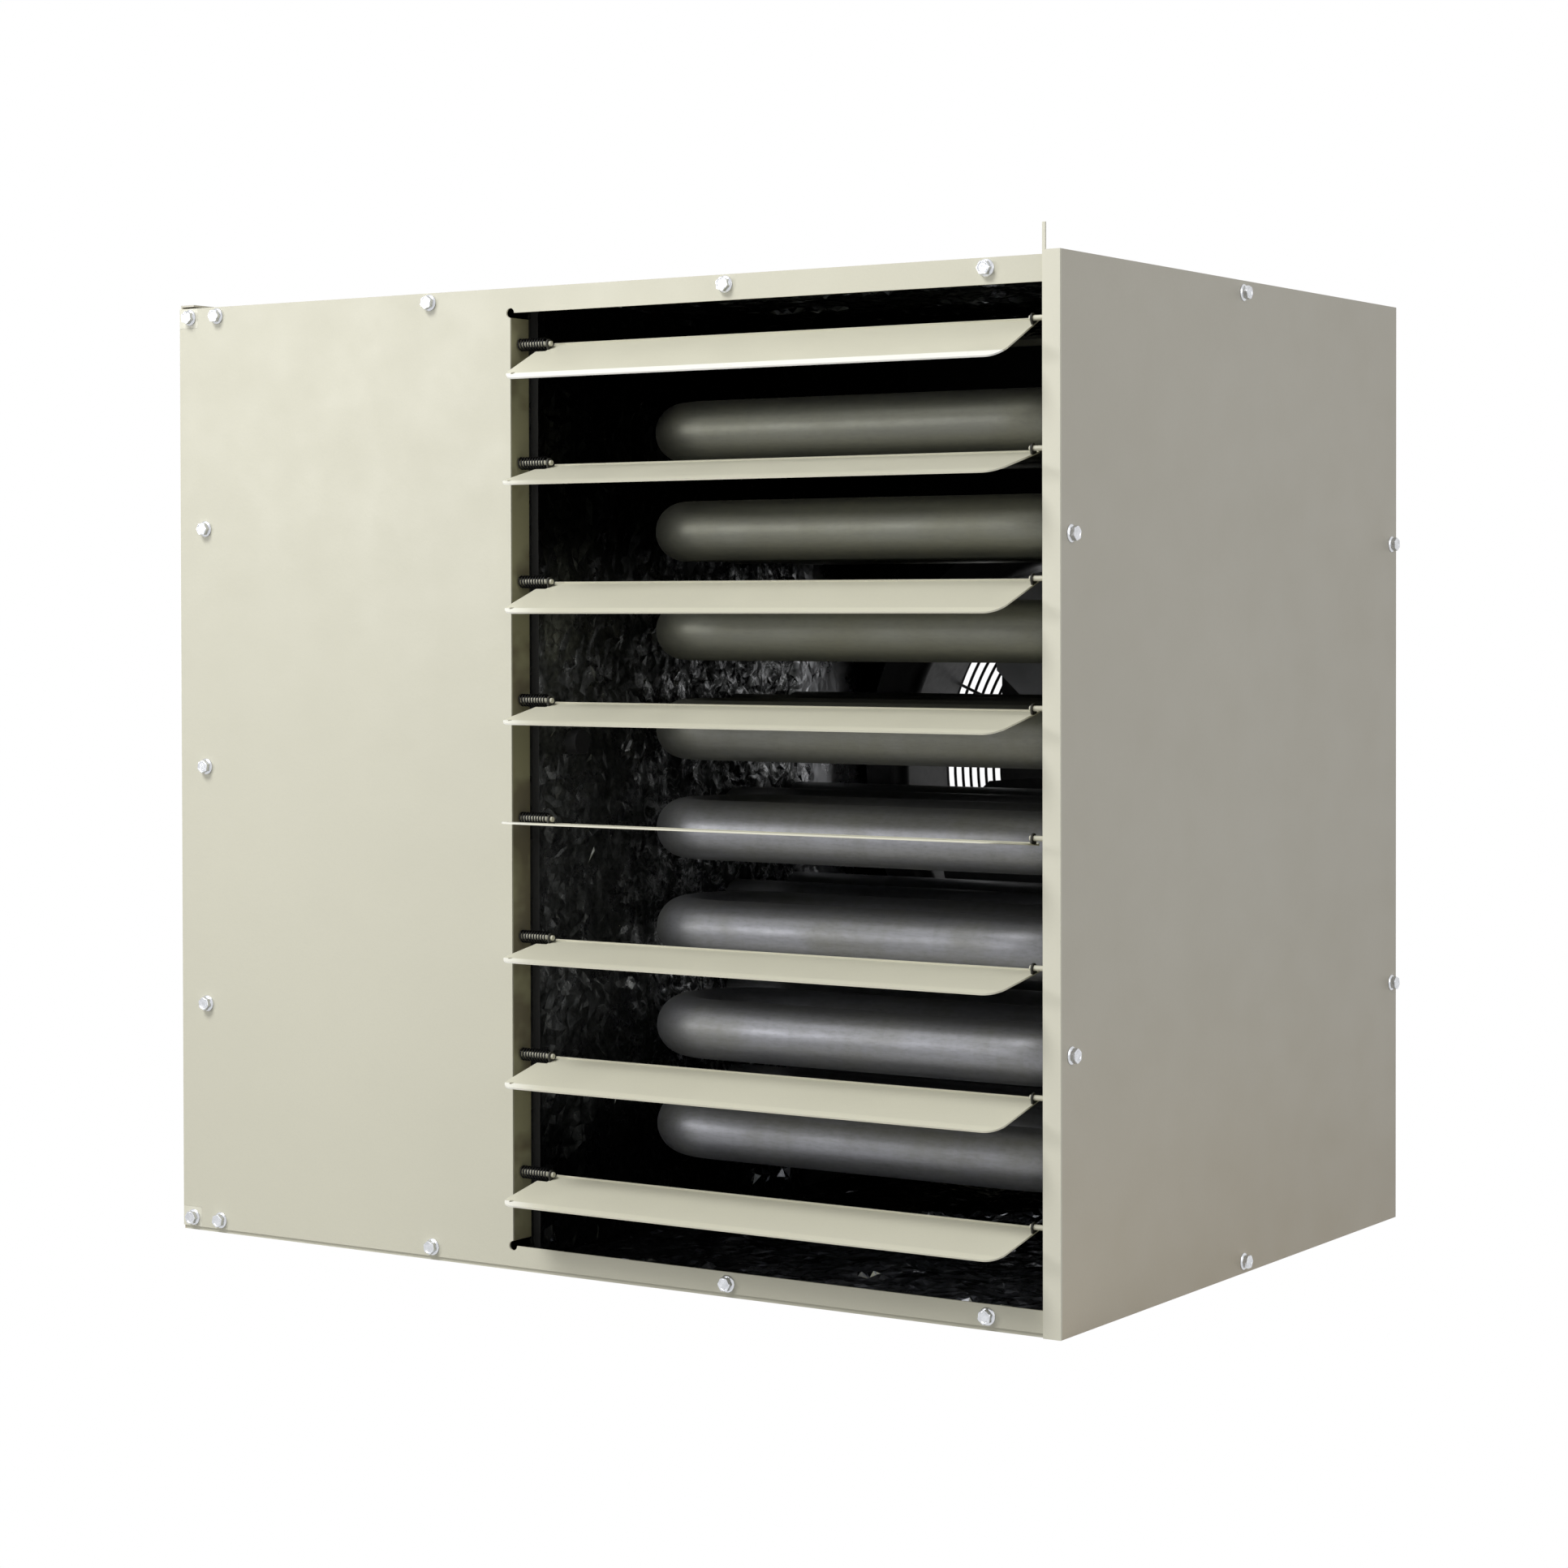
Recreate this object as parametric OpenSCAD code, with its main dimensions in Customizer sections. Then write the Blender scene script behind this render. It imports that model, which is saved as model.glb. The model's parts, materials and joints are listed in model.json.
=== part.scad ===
/* [Cabinet] */
// Width over the two side panels
cab_w = 668; // [640:1:760]
// Depth from the front flange to the rear flange
cab_d = 476; // [470:1:560]
// Height of the side panels
cab_h = 618; // [612:1:680]
// Thickness of the casing sheet
sheet = 1.2; // [0.8:0.1:1.6]
// Width of the flanges folded in along the side panels' edges
side_flange = 11.5; // [9:0.5:13]
// How far the front, top, bottom and rear panels stand in from the side panels' ends
edge_step = 2.5; // [2:0.1:4]
// Height of the slim upright tab over the right front corner
tab_h = 15.5; // [8:0.5:20]
// Width of that tab
tab_w = 2; // [1.5:0.5:5]
// Width of the left side panel's corner tabs
corner_tab_w = 16; // [12:0.5:22]
// Height of the left side panel's corner tabs
corner_tab_h = 13; // [10.6:0.1:13]

/* [Discharge opening] */
// Left edge of the opening, from the cabinet's left side
open_left = 277.5; // [270:0.5:290]
// Lower edge of the opening above the base
open_low = 15.5; // [15:0.5:17]
// Upper edge of the opening below the top
open_drop = 18; // [17:0.5:20]
// Depth of the folded jambs beside the opening
jamb_d = 20; // [16:0.5:22]
// Radius of the bend relief in the opening's corners
relief_r = 3; // [1:0.5:4]

/* [Louvers] */
// Drop from the opening's upper edge to the top louver's pivot
louver_drop = 19.6; // [18:0.1:23]
// Rise from the opening's lower edge to the bottom louver's pivot
louver_rise = 45.4; // [42:0.1:47]
// Pivot distance behind the front flange
pivot_y = 10.5; // [9:0.1:12]
// Gap between a blade's left end and the jamb
louver_gap = 15; // [12:0.1:16]
// Gap between a blade's right end and the jamb
louver_end_gap = 11.2; // [6:0.1:14]
// Blade reach in front of the pivot
blade_front = 45.6; // [40:0.1:48]
// Blade reach behind the pivot
blade_rear = 6.4; // [5:0.1:9]
// Blade thickness
blade_t = 1; // [0.8:0.1:1.5]
// Pivot height above the blade
pivot_rise = 3; // [2.6:0.1:4]
// Radius of the blade's front corners
blade_corner = 10; // [7:0.5:12]
// Depth of the lip folded under along the blade's front edge
lip_h = 1.6; // [1.4:0.1:4]
// Depth of the lip folded up along the blade's rear edge
rear_lip_h = 1.8; // [1:0.1:3]
// Diameter of the hole in the blade's front left corner
blade_hole_d = 3; // [2:0.1:4]
// Distance of the left ear from the blade's end
ear_inset = 7.7; // [7:0.1:12]
// Ear half width and its top radius
ear_r = 2.9; // [2.8:0.1:4]
// Gap round the spring in the blade's rear left notch
notch_gap = 0.6; // [0.4:0.1:1]
// Pivot pin diameter
pin_d = 3.2; // [2.5:0.1:4]
// Radial clearance of a pin in its ear
pin_play = 0.05; // [0.02:0.01:0.1]
// Pin head diameter
pin_head_d = 6.4; // [5:0.1:8]
// Pin head thickness
pin_head_t = 1.5; // [1:0.1:2]
// Pin length past its ear
pin_tail = 1.5; // [1:0.1:3]
// Spring wire diameter
spring_wire = 1; // [0.8:0.1:1.2]
// Spring outer diameter
spring_od = 8.2; // [7:0.1:8.2]
// Curls in each spring
spring_curls = 10; // [6:1:12]
// Gap between a spring's end and the jamb or the ear
spring_gap = 0.3; // [0.2:0.1:0.6]

/* [Heat exchanger] */
// Tube outer diameter
tube_d = 38.1; // [32:0.1:40]
// Tube wall
tube_wall = 1.2; // [0.9:0.1:2]
// Top tube's axis below the casing's top
tube_drop = 90; // [82:1:92]
// Bottom tube's axis above the base
tube_rise = 83.5; // [80:0.5:88]
// First row's axis behind the front flange
row_y = 98; // [90:1:105]
// Last row's axis in front of the rear flange
row_rear = 149.4; // [146:0.1:155]
// Gap from the opening's left edge to the visible return bends
bend_gap = 28.5; // [24:0.5:40]
// Gap from the outer loops to the opening's right edge
loop_gap = 8.5; // [6:0.5:16]
// Gap between the inner return bends and the outer loops
loop_play = 7.9; // [7:0.1:18]
// Radial clearance of a tube in the partition
tube_play = 0.2; // [0.1:0.1:0.5]

/* [Fan] */
// Fan axis to the left of the opening's middle
fan_shift = 1; // [-4:0.5:6]
// Fan axis below the opening's middle
fan_sink = 7.75; // [-10:0.25:15]
// Rim from the orifice in the rear panel to the width of the opening
orifice_gap = 37.5; // [25:0.5:45]
// Depth of the shroud in front of the rear panel
shroud_d = 62; // [50:1:75]
// Radius of the rounded mouth at the shroud's front
mouth_r = 10; // [6:1:12]
// Shroud wall
shroud_wall = 1.2; // [1:0.1:2]
// Gap between the blade tips and the shroud
tip_gap = 5; // [3:0.5:12]
// Number of fan blades
fan_blades = 3; // [3:1:6]
// Angle that each blade spans
blade_span = 50; // [40:1:70]
// Angle at which the fan rests
fan_turn = 98.5; // [0:0.5:120]
// Blade pitch angle
blade_pitch_angle = 24; // [15:1:30]
// Fan blade thickness
fan_blade_t = 1.6; // [1.2:0.1:2.5]
// Hub radius
hub_r = 34; // [28:1:44]
// Hub length
hub_l = 26; // [20:1:32]
// Hub front face in front of the rear panel
hub_in = 69.6; // [64:0.1:74]
// Shaft diameter
shaft_d = 9.5; // [8:0.1:12]
// Gap from the motor to each strut
motor_side_gap = 22; // [18:1:26]
// Motor length
motor_l = 78; // [60:1:90]
// Gap between the hub and the motor
motor_gap = 4; // [3:0.5:8]
// Gap from a strut to the guard's nearest foot
strut_gap = 4.3; // [2:0.1:6]
// Strut width
strut_w = 36; // [30:1:38]
// Strut thickness
strut_t = 3; // [2:0.5:3.5]
// Height of the two motor straps above and below the axis
strap_z = 24; // [18:1:30]
// Strap width
strap_w = 14; // [8:1:18]
// Gap from the innermost guard ring to the motor
ring_clear = 4.2; // [3:0.1:8]
// Number of guard rings
ring_n = 17; // [10:1:17]
// Guard wire diameter
guard_wire = 2.2; // [1.6:0.1:3]
// Guard spokes
spoke_n = 8; // [6:1:12]
// Gap from the rear panel to the guard's rings
guard_gap = 5; // [5:0.5:7]

/* [Burners and gas] */
// How much deeper the burner box is than a tube, front to back
box_margin = 8.9; // [6:0.1:12]
// Burner box width, partition to open side
box_w = 80; // [70:1:90]
// Burner box end margin over the outer tube axes
box_end = 27; // [24:1:30]
// Burner body diameter
burner_d = 28; // [24:1:32]
// Burner throat diameter
throat_d = 18; // [14:1:20]
// Burner length
burner_l = 52; // [44:1:56]
// Gap from the burner box's open side to the burners' mouths
burner_set = 6; // [3:1:10]
// Manifold pipe width
manifold_w = 20; // [18:1:24]
// Gap between the burner mouths and the manifold
manifold_gap = 12; // [12:1:16]
// Orifice diameter
spud_d = 9; // [7:0.5:11]
// Gas valve width
valve_w = 60; // [50:1:66]
// Gas valve depth
valve_d = 62; // [55:1:68]
// Gas valve height
valve_h = 88; // [80:1:100]
// Gas valve's middle below the middle of the burners
valve_sink = 5.75; // [-10:0.25:20]
// Pipe between the valve and the manifold, length
nipple_l = 24; // [18:1:30]
// Gas pipe outer diameter
gas_pipe_d = 21.3; // [21.3:0.1:26.7]
// Gas pipe's axis below the burner box, at the back
pipe_drop = 18.5; // [16:0.5:22]
// Gas pipe length behind the rear flange
gas_stub = 30; // [24:1:40]
// Length of the pipe's threaded end
thread_l = 20; // [14:1:22]
// Mean diameter of the thread
thread_d = 20.6; // [20:0.1:21]
// Valve knob diameter
knob_d = 28; // [22:1:34]
// Valve knob height
knob_h = 14; // [10:1:18]

/* [Flue] */
// Collector width off the partition
coll_w = 58; // [50:1:64]
// Gap from the burner box to the inducer housing
ind_gap = 2.7; // [2:0.1:8]
// Inducer housing width
ind_w = 46; // [40:1:52]
// Inducer axis below the top tube
ind_drop = 98; // [90:1:110]
// Rim from the inducer wheel to its housing
wheel_gap = 14; // [14:1:20]
// Inducer wheel blades
wheel_n = 18; // [12:1:24]
// Inducer motor radius
ind_motor_r = 34; // [30:1:40]
// Inducer motor length
ind_motor_l = 66; // [50:1:74]
// Flue collar outer diameter
collar_d = 101.6; // [98:0.1:104]
// Flue collar wall
collar_wall = 1; // [0.8:0.1:1.5]
// Flue collar length behind its stop bead
collar_l = 38; // [30:1:50]
// Height of the stop bead round the collar
bead_h = 2.4; // [1.6:0.1:3]

/* [Controls] */
// Control board length, front to back
board_l = 100; // [90:1:110]
// Control board height
board_h = 130; // [110:1:140]
// Board thickness
board_t = 1.6; // [1.2:0.1:2]
// Board stand-off length
standoff_l = 8; // [6:1:12]
// Transformer size
trafo_w = 56; // [50:1:64]
// Junction box width
jbox_w = 92; // [80:1:100]
// Junction box depth
jbox_d = 52; // [46:1:60]
// Junction box height
jbox_h = 92; // [80:1:100]
// Electrical knockout diameter
knockout_d = 22.2; // [22.2:0.1:28.6]
// Pressure switch diameter
pswitch_d = 62; // [56:1:64]
// Pressure switch thickness
pswitch_t = 26; // [22:1:30]
// Hose outer diameter
hose_d = 8; // [7:0.5:9]
// Hose bore
hose_bore = 4.8; // [4:0.1:5]

/* [Screws] */
// Washer face diameter of the hex heads
washer_d = 10.5; // [9:0.1:11]
// Washer face thickness
washer_t = 1.2; // [0.8:0.1:1.6]
// Hex size across the flats
hex_af = 7.9; // [7:0.1:8]
// Hex height above the washer face
hex_h = 3.4; // [2.5:0.1:4]
// Thread diameter
screw_d = 4.2; // [3.5:0.1:4.8]
// Thread length under the head
screw_l = 9; // [7:0.5:12]

/* [Hanging] */
// Hanging holes from the cabinet's left and right sides
hang_in_x = 84; // [74:1:94]
// Hanging holes from the cabinet's front and rear flanges
hang_in_y = 68; // [58:1:78]
// Hanging hole diameter
hang_d = 10.5; // [9:0.1:11]
// Weld nut width
nut_af = 17; // [15:1:19]
// Weld nut height
nut_h = 8; // [6:1:10]

/* [Hidden] */
$fn = 48;

over = 1;                     // overrun of a cut past a face
touch_play = 0.1;             // clearance of plain parts in their holes
louver_n = 8;
tube_n = 8;
row_gaps = 3;                 // gaps between the four rows of a tube
tilts = [26, 13.5, 20, 12, -5, 9.5, 14, 12];   // front-down angle of each louver at rest, degrees

// Planes of the casing, measured from the left, the front flange and the base
fp_y = sheet;                                 // front face of the front panel
fold_y = fp_y + sheet;                        // back face of the front panel
rear_y = cab_d - sheet;                       // back face of the rear panel
in_rear = rear_y - sheet;                     // front face of the rear panel
plate_low = sheet;                            // upper face of the bottom panel
plate_top = cab_h - edge_step - sheet;        // lower face of the top panel
open_right = cab_w - side_flange;
open_high = cab_h - open_drop;
flange_h = open_low - edge_step - sheet;      // height of the folded flanges under the opening
wall_x = cab_w - sheet;                       // inner face of the right side panel
part_x = open_left - sheet;                   // left face of the partition
open_w = open_right - open_left;
hang_x = cab_w - 2 * hang_in_x;
hang_y = cab_d - 2 * hang_in_y;
louver_top = open_high - louver_drop;
louver_pitch = (louver_top - open_low - louver_rise) / (louver_n - 1);
tube_top = cab_h - tube_drop;
tube_pitch = (tube_top - tube_rise) / (tube_n - 1);
row_pitch = (cab_d - row_rear - row_y) / row_gaps;
bend_left = open_left + bend_gap;             // left outer end of the visible return bends
loop_right = open_right - loop_gap;           // right outer end of the outer loops
inner_right = loop_right - tube_d - loop_play;
box_d = tube_d + box_margin;
fan_x = (open_left + open_right) / 2 - fan_shift;
fan_z = (open_low + open_high) / 2 - fan_sink;
orifice_r = open_w / 2 - orifice_gap;

module at(x, y, z) { translate([x - cab_w / 2, y - cab_d / 2, z]) children(); }
module block(x, y, z, w, d, h) { at(x, y, z) cube([w, d, h]); }
module rod_x(x, y, z, r, l) { at(x, y, z) rotate([0, 90, 0]) cylinder(r = r, h = l); }
module rod_y(x, y, z, r, l) { at(x, y, z) rotate([-90, 0, 0]) cylinder(r = r, h = l); }
module rod_z(x, y, z, r, l) { at(x, y, z) cylinder(r = r, h = l); }

// Screw places
row_inset = 6;                // front screw rows from the panel's ends
row_low = edge_step + row_inset;
row_high = cab_h - edge_step - row_inset;
tab_screw_x = 9;
first_screw_x = 33;
last_screw_x = 48.5;          // from the right side
end_pitch = 180;
column_x = 22;
column_pitch = 158;
column_rise = 1.5;
column_mid = cab_h / 2 + column_rise;
row_xs = [first_screw_x, first_screw_x + end_pitch, cab_w - last_screw_x - end_pitch, cab_w - last_screw_x];
front_at = concat(
    [for (x = concat([tab_screw_x], row_xs)) each [[x, row_low], [x, row_high]]],
    [for (k = [-1, 0, 1]) [column_x, column_mid + k * column_pitch]]);
side_inset = 7.5;             // side screws from the top and the bottom edges
side_front = 13;
side_rear = 8;
side_half = 148.5;
side_at = [[cab_d / 2, side_inset], [cab_d / 2, cab_h - side_inset],
    [side_front, cab_h / 2 - side_half], [side_front, cab_h / 2 + side_half],
    [cab_d - side_rear, cab_h / 2 - side_half], [cab_d - side_rear, cab_h / 2 + side_half]];
left_at = [for (p = side_at) if (p[0] != side_front) p];
lap_w = 32;                   // left side panel's fold behind the front panel
fold_low = edge_step + sheet + flange_h + over;
fold_h = cab_h - 2 * fold_low;

module screw() {
    cylinder(d = washer_d, h = washer_t);
    cylinder(d = hex_af / cos(30), h = washer_t + hex_h, $fn = 6);
    translate([0, 0, -screw_l]) cylinder(d = screw_d, h = screw_l + washer_t / 2);
}
module screw_front(x, z, y) { at(x, y, z) rotate([90, 0, 0]) screw(); }
module hole_y(x, z, y, l) { rod_y(x, y - over, z, screw_d / 2 + touch_play, l + 2 * over); }
module hole_x(y, z, x, l) { rod_x(x - over, y, z, screw_d / 2 + touch_play, l + 2 * over); }

// Casing
module front_panel() {
    color([0.82, 0.81, 0.75]) difference() {
        union() {
            block(0, fp_y, edge_step, wall_x, sheet, cab_h - 2 * edge_step);
            block(part_x, fp_y, open_low + relief_r, sheet, jamb_d - fp_y, open_high - open_low - 2 * relief_r);
            block(open_right, fp_y, open_low + relief_r, sheet, jamb_d - fp_y,
                open_high - open_low - 2 * relief_r);
            block(wall_x - sheet, fp_y, fold_low, sheet, jamb_d - fp_y, fold_h);
        }
        block(open_left, fp_y - over, open_low, open_right - open_left, sheet + 2 * over, open_high - open_low);
        for (z = [open_low, open_high]) rod_y(open_left, fp_y - over, z, relief_r, sheet + 2 * over);
        for (z = [edge_step - over, cab_h - edge_step - corner_tab_h - touch_play])
            block(-over, fp_y - over, z, corner_tab_w + touch_play + over, sheet + 2 * over,
                corner_tab_h + touch_play + over);
        for (p = front_at) if (p[0] > corner_tab_w) hole_y(p[0], p[1], fp_y, sheet);
        for (k = [0 : louver_n - 1]) {
            rod_x(part_x - over, pivot_y, pivot_z(k), pin_d / 2 + touch_play, sheet + 2 * over);
            rod_x(open_right - over, pivot_y, pivot_z(k), pin_d / 2 + touch_play, sheet + 2 * over);
        }
        for (p = side_at) if (p[0] == side_front) hole_x(p[0], p[1], wall_x - sheet, sheet);
    }
}
module side_tray(x, edge_x) {
    block(x, 0, 0, sheet, cab_d, cab_h);
    block(edge_x, 0, cab_h - sheet, side_flange, cab_d, sheet);
    block(edge_x, cab_d - sheet, 0, side_flange, sheet, cab_h);
}
module right_side_panel() {
    color([0.67, 0.65, 0.61]) difference() {
        union() {
            side_tray(wall_x, open_right);
            block(open_right, 0, 0, side_flange, sheet, cab_h);
            block(open_right, 0, cab_h - over, tab_w, sheet, tab_h + over);
        }
        for (p = side_at) hole_x(p[0], p[1], wall_x, sheet);
    }
}
module left_side_panel() {
    color([0.67, 0.65, 0.61]) difference() {
        union() {
            difference() {
                side_tray(0, 0);
                block(-over, -over, -over, side_flange + 2 * over, fold_y + over, cab_h + 2 * over);
            }
            for (z = [edge_step, cab_h - edge_step - corner_tab_h])
                block(0, fp_y, z, corner_tab_w, sheet, corner_tab_h);
            for (z = [edge_step, cab_h - edge_step - corner_tab_h])
                block(0, fp_y, z, sheet, 2 * sheet, corner_tab_h);
            block(0, fold_y, fold_low, lap_w, sheet, fold_h);
        }
        for (p = left_at) hole_x(p[0], p[1], 0, sheet);
        for (p = front_at) if (p[0] < corner_tab_w) hole_y(p[0], p[1], fp_y, sheet);
        for (p = front_at) if (p[0] == column_x) hole_y(p[0], p[1], fold_y, sheet);
    }
}
// A flat panel with its edges folded, the folds on the side that dir points to
module folded_panel(z, dir) {
    lo = dir > 0 ? z : z + sheet - flange_h;
    block(sheet, fold_y, z, wall_x - sheet, in_rear - fold_y, sheet);
    block(sheet, fold_y, lo, wall_x - sheet, sheet, flange_h);
    block(sheet, in_rear - sheet, lo, wall_x - sheet, sheet, flange_h);
    block(sheet, fold_y, lo, sheet, in_rear - fold_y, flange_h);
    block(wall_x - sheet, fold_y, lo, sheet, in_rear - fold_y, flange_h);
}
module panel_holes() {
    for (p = front_at) hole_y(p[0], p[1], fold_y, sheet);
    for (p = side_at) {
        hole_x(p[0], p[1], sheet, sheet);
        hole_x(p[0], p[1], wall_x - sheet, sheet);
    }
}
module bottom_panel() {
    color([0.7, 0.7, 0.68]) difference() {
        folded_panel(0, 1);
        panel_holes();
    }
}
module hang_places() {
    for (i = [-1, 1], j = [-1, 1]) translate([i * hang_x / 2, j * hang_y / 2, 0]) children();
}
module top_panel() {
    color([0.82, 0.81, 0.75]) difference() {
        folded_panel(plate_top, -1);
        panel_holes();
        hang_places() translate([0, 0, plate_top - over]) cylinder(d = hang_d, h = sheet + 2 * over);
    }
}
module hanger_nuts() {
    color([0.7, 0.7, 0.72]) hang_places() translate([0, 0, plate_top - nut_h]) difference() {
        cylinder(d = nut_af / cos(30), h = nut_h, $fn = 6);
        translate([0, 0, -over]) cylinder(d = hang_d, h = nut_h + 2 * over);
    }
}
module rear_panel() {
    color([0.7, 0.7, 0.68]) difference() {
        union() {
            block(sheet, in_rear, edge_step, wall_x - sheet, sheet, cab_h - 2 * edge_step);
            for (x = [sheet, wall_x - sheet]) block(x, in_rear - flange_h, fold_low, sheet, flange_h, fold_h);
        }
        rod_y(fan_x, in_rear - over, fan_z, orifice_r, sheet + 2 * over);
        rod_y(flue_x, in_rear - over, flue_z, collar_in_r + touch_play, sheet + 2 * over);
        rod_y(valve_x, in_rear - over, gas_pipe_z, gas_pipe_d / 2 + over, sheet + 2 * over);
        rod_y(jbox_x + jbox_w / 2, in_rear - over, jbox_z + jbox_h / 2, knockout_d / 2, sheet + 2 * over);
        for (p = left_at) if (p[0] == cab_d - side_rear) for (x = [sheet, wall_x - sheet])
            hole_x(p[0], p[1], x, sheet);
    }
}
module vestibule_panel() {
    color([0.45, 0.45, 0.44]) difference() {
        block(part_x, jamb_d, plate_low, sheet, in_rear - sheet - jamb_d, plate_top - plate_low);
        for (k = [0 : tube_n - 1], r = [2, 3])
            rod_x(part_x - over, row_at(r), tube_z(k), tube_d / 2 + tube_play, sheet + 2 * over);
        rod_x(part_x - over, limit_y, limit_z, limit_d / 2 + touch_play, sheet + 2 * over);
    }
}

// Liners
module side_threads() {
    for (p = side_at) rod_x(cab_w - screw_l - over, p[0], p[1], screw_d / 2 + over, screw_l + over);
}
liner_t = 6;
liner_y = jamb_d + 2 * sheet;
liner_l = in_rear - sheet - liner_y;
liner_x = open_left;
liner_w = wall_x - sheet - liner_x;
module top_liner() {
    color([0.55, 0.56, 0.57]) difference() {
        block(liner_x, liner_y, plate_top - liner_t, liner_w, liner_l, liner_t);
        hang_places() translate([0, 0, plate_top - nut_h - over]) cylinder(d = nut_af + nut_h, h = nut_h + 2 * over);
        side_threads();
    }
}
module floor_liner() {
    color([0.55, 0.56, 0.57]) difference() {
        block(liner_x, liner_y, plate_low, liner_w, liner_l, liner_t);
        side_threads();
    }
}
module right_liner() {
    color([0.55, 0.56, 0.57]) difference() {
        block(wall_x - sheet - liner_t, liner_y, plate_low + liner_t, liner_t, liner_l,
            plate_top - plate_low - 2 * liner_t);
        side_threads();
    }
}
module partition_liner() {
    color([0.55, 0.56, 0.57]) difference() {
        block(liner_x, liner_y, plate_low + liner_t, liner_t, liner_l, plate_top - plate_low - 2 * liner_t);
        for (k = [0 : tube_n - 1], r = [2, 3])
            rod_x(liner_x - over, row_at(r), tube_z(k), tube_d / 2 + over, liner_t + 2 * over);
        rod_x(liner_x - over, limit_y, limit_z, limit_d / 2 + over, liner_t + 2 * over);
    }
}

// Louvers
function pivot_z(k) = louver_top - k * louver_pitch;
blade_x0 = open_left + louver_gap;
blade_x1 = open_right - louver_end_gap;
blade_w = blade_x1 - blade_x0;
ear_x0 = blade_x0 + ear_inset;
ear_x1 = blade_x1 - blade_t;                  // the right ear closes the blade's end
hole_inset = 6;               // corner hole from the blade's two edges
notch_y = spring_od / 2 + notch_gap;          // front of the notch from the axis
// Blade in its own frame: pivot axis along X through the origin, front towards -Y
module blade() {
    plate_z = -pivot_rise - blade_t;
    difference() {
        union() {
            translate([0, 0, plate_z]) linear_extrude(blade_t) difference() {
                union() {
                    translate([0, -blade_front + blade_corner])
                        square([blade_w, blade_front + blade_rear - blade_corner]);
                    translate([blade_corner, -blade_front]) square([blade_w - 2 * blade_corner, blade_front]);
                    for (x = [blade_corner, blade_w - blade_corner])
                        translate([x, -blade_front + blade_corner]) circle(r = blade_corner);
                }
                translate([hole_inset, -blade_front + hole_inset]) circle(d = blade_hole_d);
                translate([-over, -notch_y]) square([ear_inset + over, notch_y + blade_rear + over]);
            }
            translate([2 * blade_corner, -blade_front, plate_z - lip_h + blade_t])
                cube([blade_w - 4 * blade_corner, blade_t, lip_h]);
            translate([ear_inset, blade_rear - blade_t, plate_z])
                cube([blade_w - ear_inset, blade_t, rear_lip_h]);
            for (x = [ear_x0 - blade_x0, ear_x1 - blade_x0]) translate([x, 0, 0]) {
                rotate([0, 90, 0]) cylinder(r = ear_r, h = blade_t);
                translate([0, -ear_r, plate_z]) cube([blade_t, 2 * ear_r, -plate_z]);
            }
        }
        rotate([0, 90, 0]) translate([0, 0, -over]) cylinder(d = pin_d + 2 * pin_play, h = blade_w + 2 * over);
    }
}
module louver(k) { color([0.81, 0.8, 0.73]) at(blade_x0, pivot_y, pivot_z(k)) rotate([tilts[k], 0, 0]) blade(); }
module louver_1() { louver(0); }
module louver_2() { louver(1); }
module louver_3() { louver(2); }
module louver_4() { louver(3); }
module louver_5() { louver(4); }
module louver_6() { louver(5); }
module louver_7() { louver(6); }
module louver_8() { louver(7); }
module louver_pins() {
    color([0.6, 0.6, 0.62]) for (k = [0 : louver_n - 1]) {
        rod_x(part_x - pin_head_t, pivot_y, pivot_z(k), pin_head_d / 2, pin_head_t);
        rod_x(part_x - pin_head_t, pivot_y, pivot_z(k), pin_d / 2,
            ear_x0 + blade_t + pin_tail - part_x + pin_head_t);
        rod_x(open_right + sheet, pivot_y, pivot_z(k), pin_head_d / 2, pin_head_t);
        rod_x(ear_x1 - pin_tail, pivot_y, pivot_z(k), pin_d / 2, open_right + sheet - ear_x1 + pin_tail);
    }
}

// Coil springs on the left pins
spring_rings = 8;             // rings in one curl
spring_sides = 6;             // sides of the wire
spring_l = ear_x0 - open_left - 2 * spring_gap;
coil_r = (spring_od - spring_wire) / 2;
coil_l = spring_l - spring_wire;
spring_steps = spring_curls * spring_rings;
coil_pitch = coil_l / spring_curls;
// Round coil along X
function coil(t) = [spring_wire / 2 + coil_l * t / spring_steps, coil_r * cos(360 * t / spring_rings),
    coil_r * sin(360 * t / spring_rings)];
// The wire's end runs straight for one wire diameter, along the coil's tangent
function spring_point(t) =
    t < 0 ? coil(0) - spring_wire * coil_tangent(0)
    : t > spring_steps ? coil(spring_steps) + spring_wire * coil_tangent(spring_steps) : coil(t);
function unit(v) = v / norm(v);
function coil_tangent(t) = unit([coil_pitch / (2 * PI * coil_r), -sin(360 * t / spring_rings),
    cos(360 * t / spring_rings)]);
function ring_radial(t) = [0, cos(360 * t / spring_rings), sin(360 * t / spring_rings)];
spring_path = [for (t = [-1 : spring_steps + 1]) spring_point(t)];
spring_mesh = [for (i = [0 : len(spring_path) - 1]) let (
        t = min(max(i - 1, 0), spring_steps), n = ring_radial(t), b = cross(coil_tangent(t), n))
    for (s = [0 : spring_sides - 1])
        spring_path[i] + spring_wire / 2 * (cos(360 * s / spring_sides) * n + sin(360 * s / spring_sides) * b)];
spring_faces = let (m = len(spring_path), q = spring_sides) concat(
    [for (i = [0 : m - 2], s = [0 : q - 1]) let (a = i * q + s, b = i * q + (s + 1) % q) each
        [[a, b, b + q], [a, b + q, a + q]]],
    [for (s = [1 : q - 2]) [0, s + 1, s]],
    [for (s = [1 : q - 2]) let (z = (m - 1) * q) [z, z + s, z + s + 1]]);
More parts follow.
